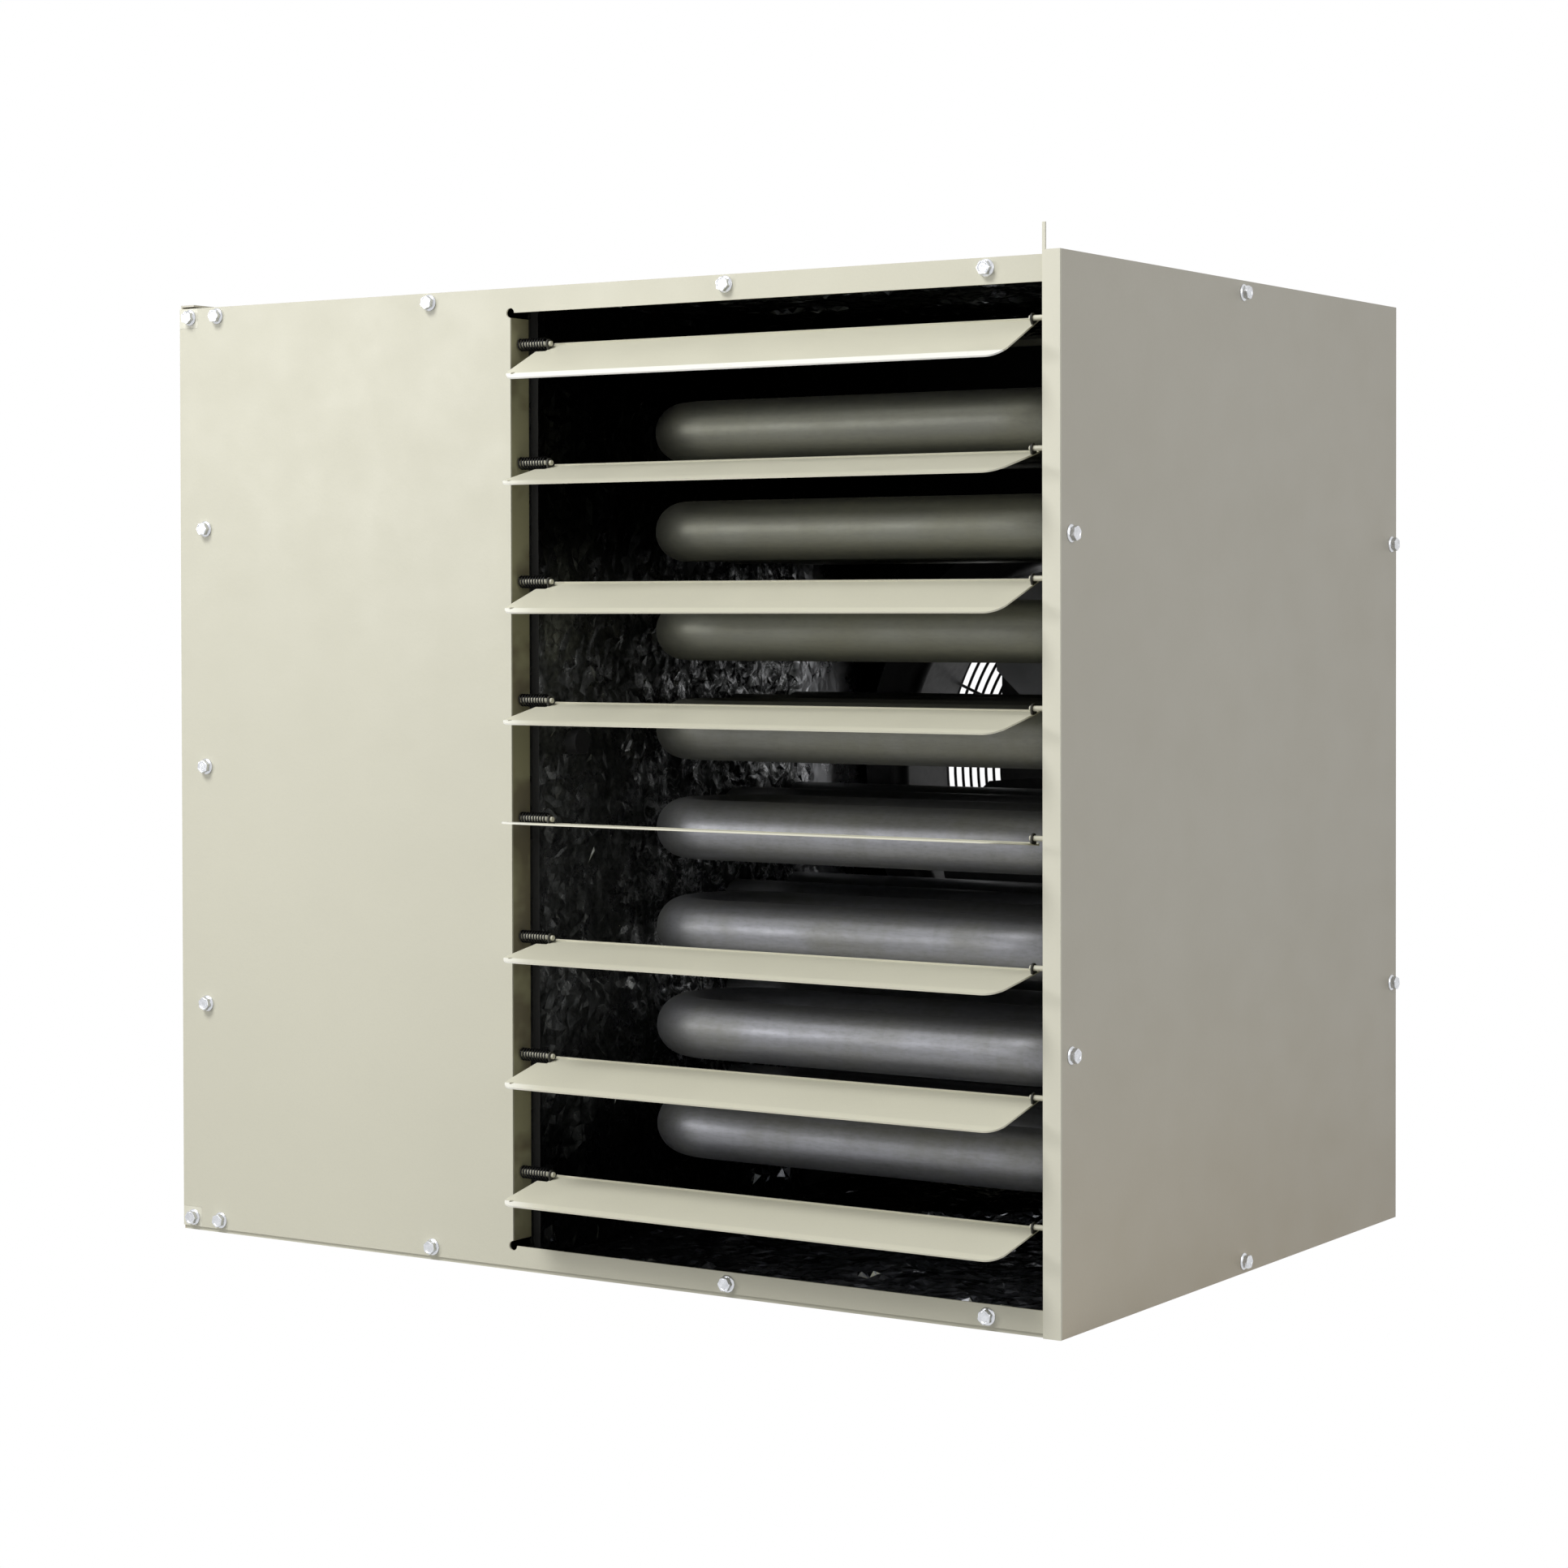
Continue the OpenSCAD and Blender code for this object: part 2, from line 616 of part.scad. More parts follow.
// Least gap of a spring to itself, on points half a curl or more apart
spring_self_gap = min([for (i = [0 : spring_steps], j = [i + spring_rings / 2 : 1 : spring_steps])
    norm(coil(i) - coil(j))]) - spring_wire;
echo(spring_self_gap = spring_self_gap);
module louver_springs() {
    color([0.08, 0.08, 0.08]) for (k = [0 : louver_n - 1])
        at(open_left + spring_gap, pivot_y, pivot_z(k)) polyhedron(spring_mesh, spring_faces);
}

// Heat exchanger tubes
function tube_z(k) = tube_top - k * tube_pitch;
function row_at(r) = row_y + r * row_pitch;
bend_r = row_pitch / 2;
left_c = bend_left + tube_d / 2 + bend_r;     // centre of the visible return bends
inner_c = inner_right - tube_d / 2 - bend_r;
outer_c = loop_right - tube_d / 2 - bend_r;
module ring_2d() {
    difference() {
        circle(d = tube_d);
        circle(d = tube_d - 2 * tube_wall);
    }
}
module run_x(x, y, l) { translate([x, y, 0]) rotate([0, 90, 0]) linear_extrude(l) ring_2d(); }
module run_y(x, y, l) { translate([x, y, 0]) rotate([-90, 0, 0]) linear_extrude(l) ring_2d(); }
module elbow(x, y, from, turn) {
    translate([x, y, 0]) rotate([0, 0, from]) rotate_extrude(angle = turn) translate([bend_r, 0]) ring_2d();
}
module heat_tube(k) {
    color([0.52, 0.53, 0.51]) at(0, 0, tube_z(k)) {
        run_x(part_x, row_at(2), inner_c - part_x);
        elbow(inner_c, row_at(1) + bend_r, -90, 180);
        run_x(left_c, row_at(1), inner_c - left_c);
        elbow(left_c, row_at(0) + bend_r, 90, 180);
        run_x(left_c, row_at(0), outer_c - left_c);
        elbow(outer_c, row_at(0) + bend_r, -90, 90);
        run_y(outer_c + bend_r, row_at(0) + bend_r, row_at(3) - row_at(0) - 2 * bend_r);
        elbow(outer_c, row_at(3) - bend_r, 0, 90);
        run_x(part_x, row_at(3), outer_c - part_x);
    }
}
module heat_tube_1() { heat_tube(0); }
module heat_tube_2() { heat_tube(1); }
module heat_tube_3() { heat_tube(2); }
module heat_tube_4() { heat_tube(3); }
module heat_tube_5() { heat_tube(4); }
module heat_tube_6() { heat_tube(5); }
module heat_tube_7() { heat_tube(6); }
module heat_tube_8() { heat_tube(7); }

// Burners, at the tubes' third row
burn_y = row_at(2);
exch_low = tube_z(tube_n - 1) - box_end;
exch_h = tube_top - tube_z(tube_n - 1) + 2 * box_end;
gas_pipe_z = exch_low - pipe_drop;
valve_z = (tube_top + tube_rise) / 2 - valve_sink;
box_x = part_x - box_w;
box_y = burn_y - box_d / 2;
burner_x = box_x + burner_set;
shelf_d = 8;
module burner_box() {
    color([0.6, 0.6, 0.6]) difference() {
        block(box_x, box_y, exch_low, box_w, box_d, exch_h);
        block(box_x - over, box_y + sheet, exch_low + sheet, box_w - sheet + over, box_d - 2 * sheet,
            exch_h - 2 * sheet);
        for (k = [0 : tube_n - 1])
            rod_x(part_x - sheet - over, burn_y, tube_z(k), tube_d / 2 - tube_wall, sheet + 2 * over);
        rod_y(box_x + probe_x, box_y - over, tube_z(0), probe_r + touch_play, box_d + 2 * over);
        rod_y(box_x + probe_x, box_y - over, tube_z(tube_n - 1), probe_r + touch_play, sheet + 2 * over);
        rod_y(box_x + probe_x, box_y - over, rollout_z, roll_r / 2, sheet + 2 * over);
    }
}
neck_l = 16;
module burners() {
    color([0.62, 0.61, 0.58]) for (k = [0 : tube_n - 1]) difference() {
        union() {
            rod_x(burner_x + neck_l, burn_y, tube_z(k), burner_d / 2, burner_l - neck_l);
            rod_x(burner_x, burn_y, tube_z(k), throat_d / 2, burner_l / 2);
        }
        rod_x(burner_x - over, burn_y, tube_z(k), throat_d / 2 - sheet, burner_l + 2 * over);
    }
    color([0.62, 0.61, 0.58]) for (z = [tube_z(tube_n - 1) - burner_d / 2, tube_top + burner_d / 2 - sheet])
        difference() {
            block(burner_x + neck_l, box_y + sheet, z, shelf_d, box_d - 2 * sheet, sheet);
            rod_x(burner_x, burn_y, tube_z(tube_n - 1), burner_d / 2 - sheet / 2, burner_l);
            rod_x(burner_x, burn_y, tube_top, burner_d / 2 - sheet / 2, burner_l);
        }
    color([0.62, 0.61, 0.58]) for (k = [0 : tube_n - 2])
        block(burner_x + neck_l, burn_y - shelf_d / 2, tube_z(k + 1) + burner_d / 2 - sheet, shelf_d, shelf_d,
            tube_pitch - burner_d + 2 * sheet);
}
manifold_x = burner_x - manifold_gap - manifold_w;
manifold_y = burn_y - manifold_w / 2;
module gas_manifold() {
    color([0.15, 0.15, 0.15]) difference() {
        union() {
            block(manifold_x, manifold_y, exch_low, manifold_w, manifold_w, exch_h);
            rod_y(valve_x, manifold_y - nipple_l, valve_z, gas_pipe_d / 2, nipple_l + over);
        }
        block(manifold_x + 2 * sheet, manifold_y + 2 * sheet, exch_low + 2 * sheet, manifold_w - 4 * sheet,
            manifold_w - 4 * sheet, exch_h - 4 * sheet);
        rod_y(valve_x, manifold_y - nipple_l - over, valve_z, gas_pipe_d / 2 - 2 * sheet,
            nipple_l + 3 * sheet + over);
        for (k = [0 : tube_n - 1])
            rod_x(manifold_x + manifold_w / 2, burn_y, tube_z(k), spud_d / 4, manifold_w);
    }
    // Plates that carry the manifold under and over the burner box
    color([0.15, 0.15, 0.15]) for (z = [exch_low - 2 * sheet, exch_low + exch_h])
        block(manifold_x, manifold_y, z, box_x - manifold_x + 2 * shelf_d, manifold_w, 2 * sheet);
}
spud_l = 10;
jet_d = 2;
module orifices() {
    color([0.78, 0.62, 0.25]) for (k = [0 : tube_n - 1]) difference() {
        union() {
            rod_x(manifold_x + manifold_w, burn_y, tube_z(k), spud_d / 2, spud_l);
            rod_x(manifold_x + manifold_w - sheet, burn_y, tube_z(k), spud_d / 4 - touch_play, spud_l);
        }
        rod_x(manifold_x, burn_y, tube_z(k), jet_d / 2, manifold_w + spud_l + over);
    }
}

// Gas valve, knob and pipe
valve_x = manifold_x + manifold_w / 2;
valve_y = manifold_y - nipple_l - valve_d;    // front face of the valve
knob_y = valve_y + valve_d / 2;
knob_z = valve_z + valve_h / 4;
stem_d = 6;
stem_l = 5;
flat_w = 6;
cap_h = 10;
module gas_valve() {
    color([0.72, 0.72, 0.73]) difference() {
        union() {
            block(valve_x - valve_w / 2, valve_y, valve_z - valve_h / 2, valve_w, valve_d, valve_h);
            block(valve_x - valve_w / 4, valve_y + valve_d / 4, valve_z + valve_h / 2, valve_w / 2,
                valve_d / 2, cap_h);
            rod_y(valve_x, valve_y - cap_h, valve_z - valve_h / 4, knob_d / 2, cap_h);
        }
        rod_x(valve_x - valve_w / 2 - over, knob_y, knob_z, stem_d / 2 + pin_play, stem_l + over);
    }
}
module gas_valve_knob() {
    color([0.12, 0.12, 0.13]) {
        rod_x(valve_x - valve_w / 2 - touch_play - knob_h, knob_y, knob_z, knob_d / 2, knob_h);
        rod_x(valve_x - valve_w / 2 - knob_h, knob_y, knob_z, stem_d / 2, knob_h + stem_l - touch_play);
        block(valve_x - valve_w / 2 - touch_play - knob_h - flat_w / 2, knob_y - flat_w / 2, knob_z - knob_d / 2,
            flat_w, flat_w, knob_d);
    }
}
pipe_bend = 26;
pipe_y = valve_y + valve_d / 2;
module pipe_ring() {
    difference() {
        circle(d = gas_pipe_d);
        circle(d = gas_pipe_d - 4 * sheet);
    }
}
module gas_pipe() {
    color([0.2, 0.2, 0.2]) {
        at(valve_x, pipe_y, gas_pipe_z + pipe_bend)
            linear_extrude(valve_z - valve_h / 2 - gas_pipe_z - pipe_bend) pipe_ring();
        at(valve_x, pipe_y + pipe_bend, gas_pipe_z + pipe_bend) rotate([0, -90, 0]) rotate([0, 0, 180])
            rotate_extrude(angle = 90) translate([pipe_bend, 0]) pipe_ring();
        at(valve_x, pipe_y + pipe_bend, gas_pipe_z) rotate([-90, 0, 0])
            linear_extrude(cab_d + gas_stub - thread_l - pipe_y - pipe_bend) pipe_ring();
        at(valve_x, cab_d + gas_stub - thread_l - over, gas_pipe_z) rotate([-90, 0, 0])
            linear_extrude(thread_l + over) difference() {
                circle(d = thread_d);
                circle(d = gas_pipe_d - 4 * sheet);
            }
    }
}

// Igniter, sensor and safety switches
probe_in = 12;                // probes from the box's right end
probe_x = box_w - probe_in;
probe_r = 3.5;
probe_plate = 16;
probe_rod_r = 1.5;
module probe(z, length) {
    rod_y(box_x + probe_x, box_y - sheet, z, probe_r, box_d / 4);
    block(box_x + probe_x - probe_plate / 2, box_y - 2 * sheet, z - probe_plate / 2, probe_plate, 2 * sheet,
        probe_plate);
    rod_y(box_x + probe_x, box_y - 2 * probe_plate, z, probe_r, 2 * probe_plate);
    rod_y(box_x + probe_x, box_y, z, probe_rod_r, length);
}
module igniter() { color([0.9, 0.88, 0.82]) probe(tube_z(tube_n - 1), box_d / 2); }
module flame_sensor() { color([0.88, 0.86, 0.8]) probe(tube_z(0), box_d / 2); }
roll_r = 8;
roll_l = 12;
rollout_z = tube_z(2) + tube_pitch / 2;
button_r = 2.4;
button_l = 7;
button_travel = 2;
module rollout_switch() {
    color([0.1, 0.1, 0.11]) difference() {
        union() {
            rod_y(box_x + probe_x, box_y - roll_l, rollout_z, roll_r, roll_l);
            block(box_x + probe_x - roll_r, box_y - sheet, rollout_z - 2 * roll_r, 2 * roll_r, sheet, 4 * roll_r);
        }
        rod_y(box_x + probe_x, box_y - roll_l - over, rollout_z, button_r + pin_play, button_l + over);
    }
}
module reset_button() {
    color([0.75, 0.1, 0.08])
        rod_y(box_x + probe_x, box_y - roll_l - 2 * button_travel, rollout_z, button_r,
            button_l + button_travel - touch_play);
}
limit_y = 60;
limit_z = 330;
limit_d = 16;
limit_h = 34;
limit_t = 14;
module limit_switch() {
    color([0.12, 0.12, 0.13]) {
        block(part_x - limit_t, limit_y - limit_d, limit_z - limit_h / 2, limit_t, 2 * limit_d, limit_h);
        rod_x(part_x - over, limit_y, limit_z, limit_d / 2, limit_t);
    }
}
port_d = 6;
port_l = 12;
ps_y = 130;
ps_z = plate_top - pswitch_d / 2 - nut_h;
hose_x = part_x - pswitch_t / 2;
hose_bend = 16;
hose_end_y = row_at(3);
module pressure_switch() {
    color([0.2, 0.2, 0.22]) difference() {
        union() {
            rod_x(part_x - pswitch_t, ps_y, ps_z, pswitch_d / 2 - sheet, pswitch_t);
            rod_x(part_x - pswitch_t / 2 - sheet, ps_y, ps_z, pswitch_d / 2, 2 * sheet);
            block(part_x - sheet, ps_y - pswitch_d / 2, ps_z - pswitch_d / 4, sheet, pswitch_d, pswitch_d / 2);
            rod_y(hose_x, ps_y, ps_z, hose_bore / 2, pswitch_d / 2 + port_l);
        }
        rod_y(hose_x, ps_y + pswitch_d / 4, ps_z, hose_bore / 4, pswitch_d);
    }
}
hose_y0 = ps_y + pswitch_d / 2 + sheet;
module hose_ring() {
    difference() {
        circle(d = hose_d);
        circle(d = hose_bore + touch_play);
    }
}
module pressure_hose() {
    color([0.07, 0.07, 0.07]) {
        at(hose_x, hose_y0, ps_z) rotate([-90, 0, 0])
            linear_extrude(hose_end_y - hose_bend - hose_y0) hose_ring();
        at(hose_x, hose_end_y - hose_bend, ps_z - hose_bend) rotate([0, -90, 0])
            rotate_extrude(angle = 90) translate([hose_bend, 0]) hose_ring();
        at(hose_x, hose_end_y, coll_top) linear_extrude(ps_z - hose_bend - coll_top) hose_ring();
    }
}

// Control board, transformer and junction box
board_gap = 16.9;             // from the board to the burner box
board_y = box_y - board_l - board_gap;
board_z = 110;
board_x = part_x - standoff_l - board_t;
chip_shares = [[0.1, 0.1, 0.3, 0.18, 15], [0.55, 0.12, 0.28, 0.2, 17], [0.12, 0.42, 0.2, 0.22, 9],
    [0.5, 0.45, 0.38, 0.14, 11], [0.15, 0.78, 0.7, 0.1, 12], [0.5, 0.65, 0.12, 0.08, 7]];
module control_board() {
    color([0.1, 0.32, 0.16]) {
        block(board_x, board_y, board_z, board_t, board_l, board_h);
        for (i = [1 / 12, 11 / 12], j = [1 / 12, 11 / 12])
            rod_x(board_x, board_y + i * board_l, board_z + j * board_h, hose_bore / 2, standoff_l + board_t);
        for (c = chip_shares)
            block(board_x - c[4] * board_t / 2, board_y + c[0] * board_l, board_z + c[1] * board_h,
                c[4] * board_t / 2, c[2] * board_l, c[3] * board_h);
    }
}
trafo_x = 60;
trafo_y = 60;
trafo_h = 50;
module transformer() {
    color([0.3, 0.3, 0.31]) {
        block(trafo_x, trafo_y, plate_low, trafo_w, trafo_w, sheet);
        block(trafo_x + trafo_w / 8, trafo_y, plate_low, trafo_w * 3 / 4, trafo_w, trafo_h);
        block(trafo_x, trafo_y + trafo_w / 6, plate_low + trafo_h / 4, trafo_w, trafo_w * 2 / 3, trafo_h / 2);
    }
}
jbox_x = 24;
jbox_z = 60;
module junction_box() {
    color([0.66, 0.66, 0.66]) difference() {
        block(jbox_x, in_rear - jbox_d, jbox_z, jbox_w, jbox_d, jbox_h);
        block(jbox_x + sheet, in_rear - jbox_d + sheet, jbox_z + sheet, jbox_w - 2 * sheet, jbox_d,
            jbox_h - 2 * sheet);
    }
}
bush_lip = 2.2;
module power_bushing() {
    color([0.06, 0.06, 0.06]) difference() {
        union() {
            rod_y(jbox_x + jbox_w / 2, in_rear - bush_lip, jbox_z + jbox_h / 2, knockout_d / 2 - touch_play,
                sheet + 2 * bush_lip);
            rod_y(jbox_x + jbox_w / 2, rear_y, jbox_z + jbox_h / 2, knockout_d / 2 + bush_lip, bush_lip);
        }
        rod_y(jbox_x + jbox_w / 2, in_rear - 2 * bush_lip, jbox_z + jbox_h / 2, knockout_d / 2 - 2 * sheet,
            knockout_d);
    }
}

// Flue collector, inducer and collar, at the tubes' fourth row
flue_y = row_at(3);
ind_shift = 8;                // inducer's axis behind the collector's middle
coll_share = 0.84;            // collector's depth, of the distance between rows
coll_d = coll_share * row_pitch;
ind_r = row_pitch - box_d / 2 + ind_shift - ind_gap;
ind_z = tube_top - ind_drop;
wheel_r = ind_r - wheel_gap;
cone_l = 24;                  // collar inside the cabinet
collar_in_r = collar_d / 2 - sheet;           // its radius there
coll_x = part_x - coll_w;
coll_top = exch_low + exch_h;
ind_y = flue_y + ind_shift;
eye_r = wheel_r / 2;
outlet_h = 44;
outlet_z = ind_z + ind_r - outlet_h;
flue_z = outlet_z + outlet_h / 2;
flue_x = coll_x - ind_w / 2;
cone_y = in_rear - cone_l;
module flue_collector() {
    color([0.58, 0.58, 0.57]) difference() {
        union() {
            block(coll_x, flue_y - coll_d / 2, exch_low, coll_w, coll_d, exch_h);
            rod_z(hose_x, hose_end_y, coll_top - over, hose_bore / 2, port_l / 2 + over);
        }
        block(coll_x + sheet, flue_y - coll_d / 2 + sheet, exch_low + sheet, coll_w - 2 * sheet,
            coll_d - 2 * sheet, exch_h - 2 * sheet);
        for (k = [0 : tube_n - 1])
            rod_x(part_x - sheet - over, flue_y, tube_z(k), tube_d / 2 - tube_wall, sheet + 2 * over);
        rod_x(coll_x - over, ind_y, ind_z, eye_r, sheet + 2 * over);
    }
}
module inducer_housing() {
    color([0.5, 0.5, 0.49]) difference() {
        union() {
            rod_x(coll_x - ind_w, ind_y, ind_z, ind_r, ind_w);
            block(coll_x - ind_w, ind_y, outlet_z, ind_w, cone_y - ind_y, outlet_h);
        }
        rod_x(coll_x - ind_w + sheet, ind_y, ind_z, ind_r - sheet, ind_w - 2 * sheet);
        block(coll_x - ind_w + sheet, ind_y, outlet_z + sheet, ind_w - 2 * sheet, cone_y - ind_y + over,
            outlet_h - 2 * sheet);
        rod_x(coll_x - sheet - over, ind_y, ind_z, eye_r, sheet + 2 * over);
        rod_x(coll_x - ind_w - over, ind_y, ind_z, shaft_d / 2 + over, sheet + 2 * over);
    }
}
module inducer_motor() {
    color([0.13, 0.13, 0.14]) difference() {
        union() {
            rod_x(coll_x - ind_w - ind_motor_l, ind_y, ind_z, ind_motor_r, ind_motor_l * 3 / 4);
            rod_x(coll_x - ind_w - ind_motor_l / 4, ind_y, ind_z, ind_motor_r * 4 / 5, ind_motor_l / 4);
        }
        rod_x(coll_x - ind_w - ind_motor_l / 2, ind_y, ind_z, shaft_d / 2 + pin_play, ind_motor_l);
    }
}
wheel_w = ind_w - 4 * motor_gap;
wheel_x = coll_x - ind_w + sheet + motor_gap;
vane_l = 14;
module inducer_wheel() {
    color([0.6, 0.6, 0.6]) {
        rod_x(coll_x - ind_w - ind_motor_l / 2 + sheet, ind_y, ind_z, shaft_d / 2,
            wheel_x + wheel_w / 2 - coll_x + ind_w + ind_motor_l / 2 - sheet);
        rod_x(wheel_x, ind_y, ind_z, wheel_r, sheet);
        rod_x(wheel_x, ind_y, ind_z, shaft_d, wheel_w / 2);
        for (k = [0 : wheel_n - 1]) at(wheel_x, ind_y, ind_z) rotate([360 * k / wheel_n, 0, 0])
            translate([0, wheel_r - vane_l - sheet, -sheet / 2]) cube([wheel_w, vane_l, sheet]);
    }
}
module flue_collar() {
    color([0.66, 0.66, 0.66]) difference() {
        union() {
            rod_y(flue_x, cone_y, flue_z, collar_in_r, cab_d - cone_y);
            rod_y(flue_x, rear_y, flue_z, collar_d / 2 + bead_h, sheet);
            rod_y(flue_x, rear_y, flue_z, collar_d / 2, cab_d + collar_l - rear_y);
        }
        rod_y(flue_x, cone_y + sheet, flue_z, collar_in_r - collar_wall, cab_d + collar_l);
        rod_y(flue_x, cab_d, flue_z, collar_d / 2 - collar_wall, collar_l + over);
        block(coll_x - ind_w + sheet, cone_y - over, outlet_z + sheet, ind_w - 2 * sheet, sheet + 2 * over,
            outlet_h - 2 * sheet);
    }
}

// Fan, its shroud, motor and guard
hub_y = in_rear - hub_in;
fan_r = orifice_r - sheet - shroud_wall - tip_gap;
shroud_y = in_rear - shroud_d;
guard_y = rear_y + guard_gap;
shaft_y = hub_y + hub_l / 4;
motor_y = hub_y + hub_l + motor_gap;
leg_w = 16;                   // width of the shroud's legs
module fan_shroud() {
    color([0.66, 0.66, 0.66]) at(fan_x, shroud_y, fan_z) rotate([-90, 0, 0]) rotate_extrude($fn = 96) {
        translate([orifice_r - shroud_wall, mouth_r]) square([shroud_wall, shroud_d + sheet - mouth_r]);
        translate([orifice_r - shroud_wall + mouth_r, mouth_r]) intersection() {
            difference() {
                circle(r = mouth_r);
                circle(r = mouth_r - shroud_wall);
            }
            translate([-mouth_r, -mouth_r]) square(mouth_r);
        }
        translate([orifice_r - shroud_wall + mouth_r, 0]) square([2 * mouth_r, shroud_wall]);
    }
    // Legs that carry the mouth off the rear panel
    color([0.66, 0.66, 0.66]) for (a = [45 : 90 : 315]) at(fan_x, shroud_y + shroud_wall, fan_z)
        rotate([0, -a, 0]) translate([orifice_r + 2 * mouth_r - leg_w / 2, 0, -leg_w / 2])
        cube([shroud_wall, shroud_d - shroud_wall, leg_w]);
}
module fan_blades_and_shaft() {
    color([0.62, 0.63, 0.64]) {
        rod_y(fan_x, hub_y, fan_z, hub_r / 2, hub_l);
        rod_y(fan_x, hub_y + hub_l / 3, fan_z, hub_r, 2 * fan_blade_t);
        rod_y(fan_x, shaft_y, fan_z, shaft_d / 2, motor_y + motor_l / 2 - shaft_y);
        intersection() {
            rod_y(fan_x, hub_y - hub_r, fan_z, fan_r, 3 * hub_r);
            for (k = [0 : fan_blades - 1]) at(fan_x, hub_y + hub_l / 2, fan_z)
                rotate([0, 360 * k / fan_blades - fan_turn, 0]) fan_blade();
        }
    }
}
// One pitched paddle blade
module fan_blade() {
    root_w = hub_r * 0.9;
    tip_w = 2 * fan_r * sin(blade_span / 2) * 0.92;
    rotate([blade_pitch_angle, 0, 0]) translate([0, fan_blade_t / 2, 0]) rotate([90, 0, 0])
        linear_extrude(fan_blade_t)
        polygon([[hub_r * 0.7, -root_w / 2], [fan_r * 0.55, -tip_w / 2], [fan_r + over, -tip_w * 0.46],
            [fan_r + over, tip_w * 0.46], [fan_r * 0.55, tip_w / 2], [hub_r * 0.7, root_w / 2]]);
}
module fan_motor() {
    color([0.13, 0.13, 0.14]) difference() {
        union() {
            rod_y(fan_x, motor_y + motor_l / 8, fan_z, motor_r, motor_l * 3 / 4);
            rod_y(fan_x, motor_y, fan_z, motor_r * 3 / 4, motor_l);
        }
        rod_y(fan_x, motor_y - over, fan_z, shaft_d / 2 + pin_play, motor_l * 3 / 4 + over);
    }
}
strut_reach = 60;             // struts past the orifice's edge
clamp_w = 8;                  // rim round the motor
strut_half = orifice_r + strut_reach;
ring_outer = orifice_r + guard_wire;
foot_r = ring_outer + 3 * guard_wire;         // guard's feet from the fan axis
strut_x = foot_r * sin(180 / spoke_n) + guard_wire + strut_gap + strut_w / 2;
motor_r = strut_x - strut_w / 2 - motor_side_gap;
module motor_bracket() {
    color([0.35, 0.36, 0.36]) difference() {
        union() {
            for (s = [-1, 1])
                block(fan_x + s * strut_x - strut_w / 2, rear_y, fan_z - strut_half, strut_w, strut_t,
                    2 * strut_half);
            for (s = [-1, 1])
                block(fan_x - strut_x, rear_y, fan_z + s * strap_z - strap_w / 2, 2 * strut_x, strut_t, strap_w);
            rod_y(fan_x, rear_y, fan_z, motor_r + clamp_w, strut_t);
        }
        rod_y(fan_x, rear_y - over, fan_z, motor_r, strut_t + 2 * over);
    }
}
ring_pitch = (ring_outer - motor_r - ring_clear) / (ring_n - 1);
spoke_in = ring_outer - (ring_n - 1) * ring_pitch;
weld_gap = 0.05;              // rings lie this far off the spokes
module fan_guard() {
    color([0.12, 0.12, 0.12]) {
        at(fan_x, guard_y + guard_wire + weld_gap, fan_z) rotate([90, 0, 0]) for (k = [0 : ring_n - 1])
            rotate_extrude($fn = 96) translate([ring_outer - k * ring_pitch, 0]) circle(d = guard_wire, $fn = 16);
        for (k = [0 : spoke_n - 1]) at(fan_x, guard_y, fan_z) rotate([0, 360 * (k + 0.5) / spoke_n, 0])
            translate([spoke_in - guard_wire, 0, 0]) rotate([0, 90, 0])
            cylinder(d = guard_wire, h = ring_outer - spoke_in + 4 * guard_wire);
        for (k = [0 : spoke_n - 1]) at(fan_x, rear_y, fan_z) rotate([0, 360 * (k + 0.5) / spoke_n, 0])
            translate([foot_r, 0, 0]) rotate([-90, 0, 0])
            cylinder(d = 2 * guard_wire, h = guard_gap + guard_wire);
    }
}

// Screws
module front_screws() {
    color([0.78, 0.79, 0.8]) for (p = front_at) screw_front(p[0], p[1], fp_y);
}
module side_screws() {
    color([0.78, 0.79, 0.8]) for (p = side_at) at(cab_w, p[0], p[1]) rotate([0, 90, 0]) screw();
    color([0.78, 0.79, 0.8]) for (p = left_at) at(0, p[0], p[1]) rotate([0, -90, 0]) screw();
}

front_panel();
right_side_panel();
left_side_panel();
top_panel();
bottom_panel();
rear_panel();
vestibule_panel();
top_liner();
floor_liner();
right_liner();
partition_liner();
heat_tube_1();
heat_tube_2();
heat_tube_3();
heat_tube_4();
heat_tube_5();
heat_tube_6();
heat_tube_7();
heat_tube_8();
burner_box();
burners();
gas_manifold();
orifices();
gas_valve();
gas_pipe();
igniter();
flame_sensor();
limit_switch();
rollout_switch();
pressure_switch();
pressure_hose();
control_board();
transformer();
junction_box();
power_bushing();
flue_collector();
inducer_housing();
inducer_motor();
flue_collar();
fan_shroud();
fan_guard();
fan_motor();
motor_bracket();
louver_pins();
louver_springs();
front_screws();
side_screws();
hanger_nuts();
louver_1();
louver_2();
louver_3();
louver_4();
louver_5();
louver_6();
louver_7();
louver_8();
fan_blades_and_shaft();
inducer_wheel();
gas_valve_knob();
reset_button();
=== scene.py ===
import json
import math
import random

import bmesh
import bpy
from mathutils import Matrix, Vector, noise


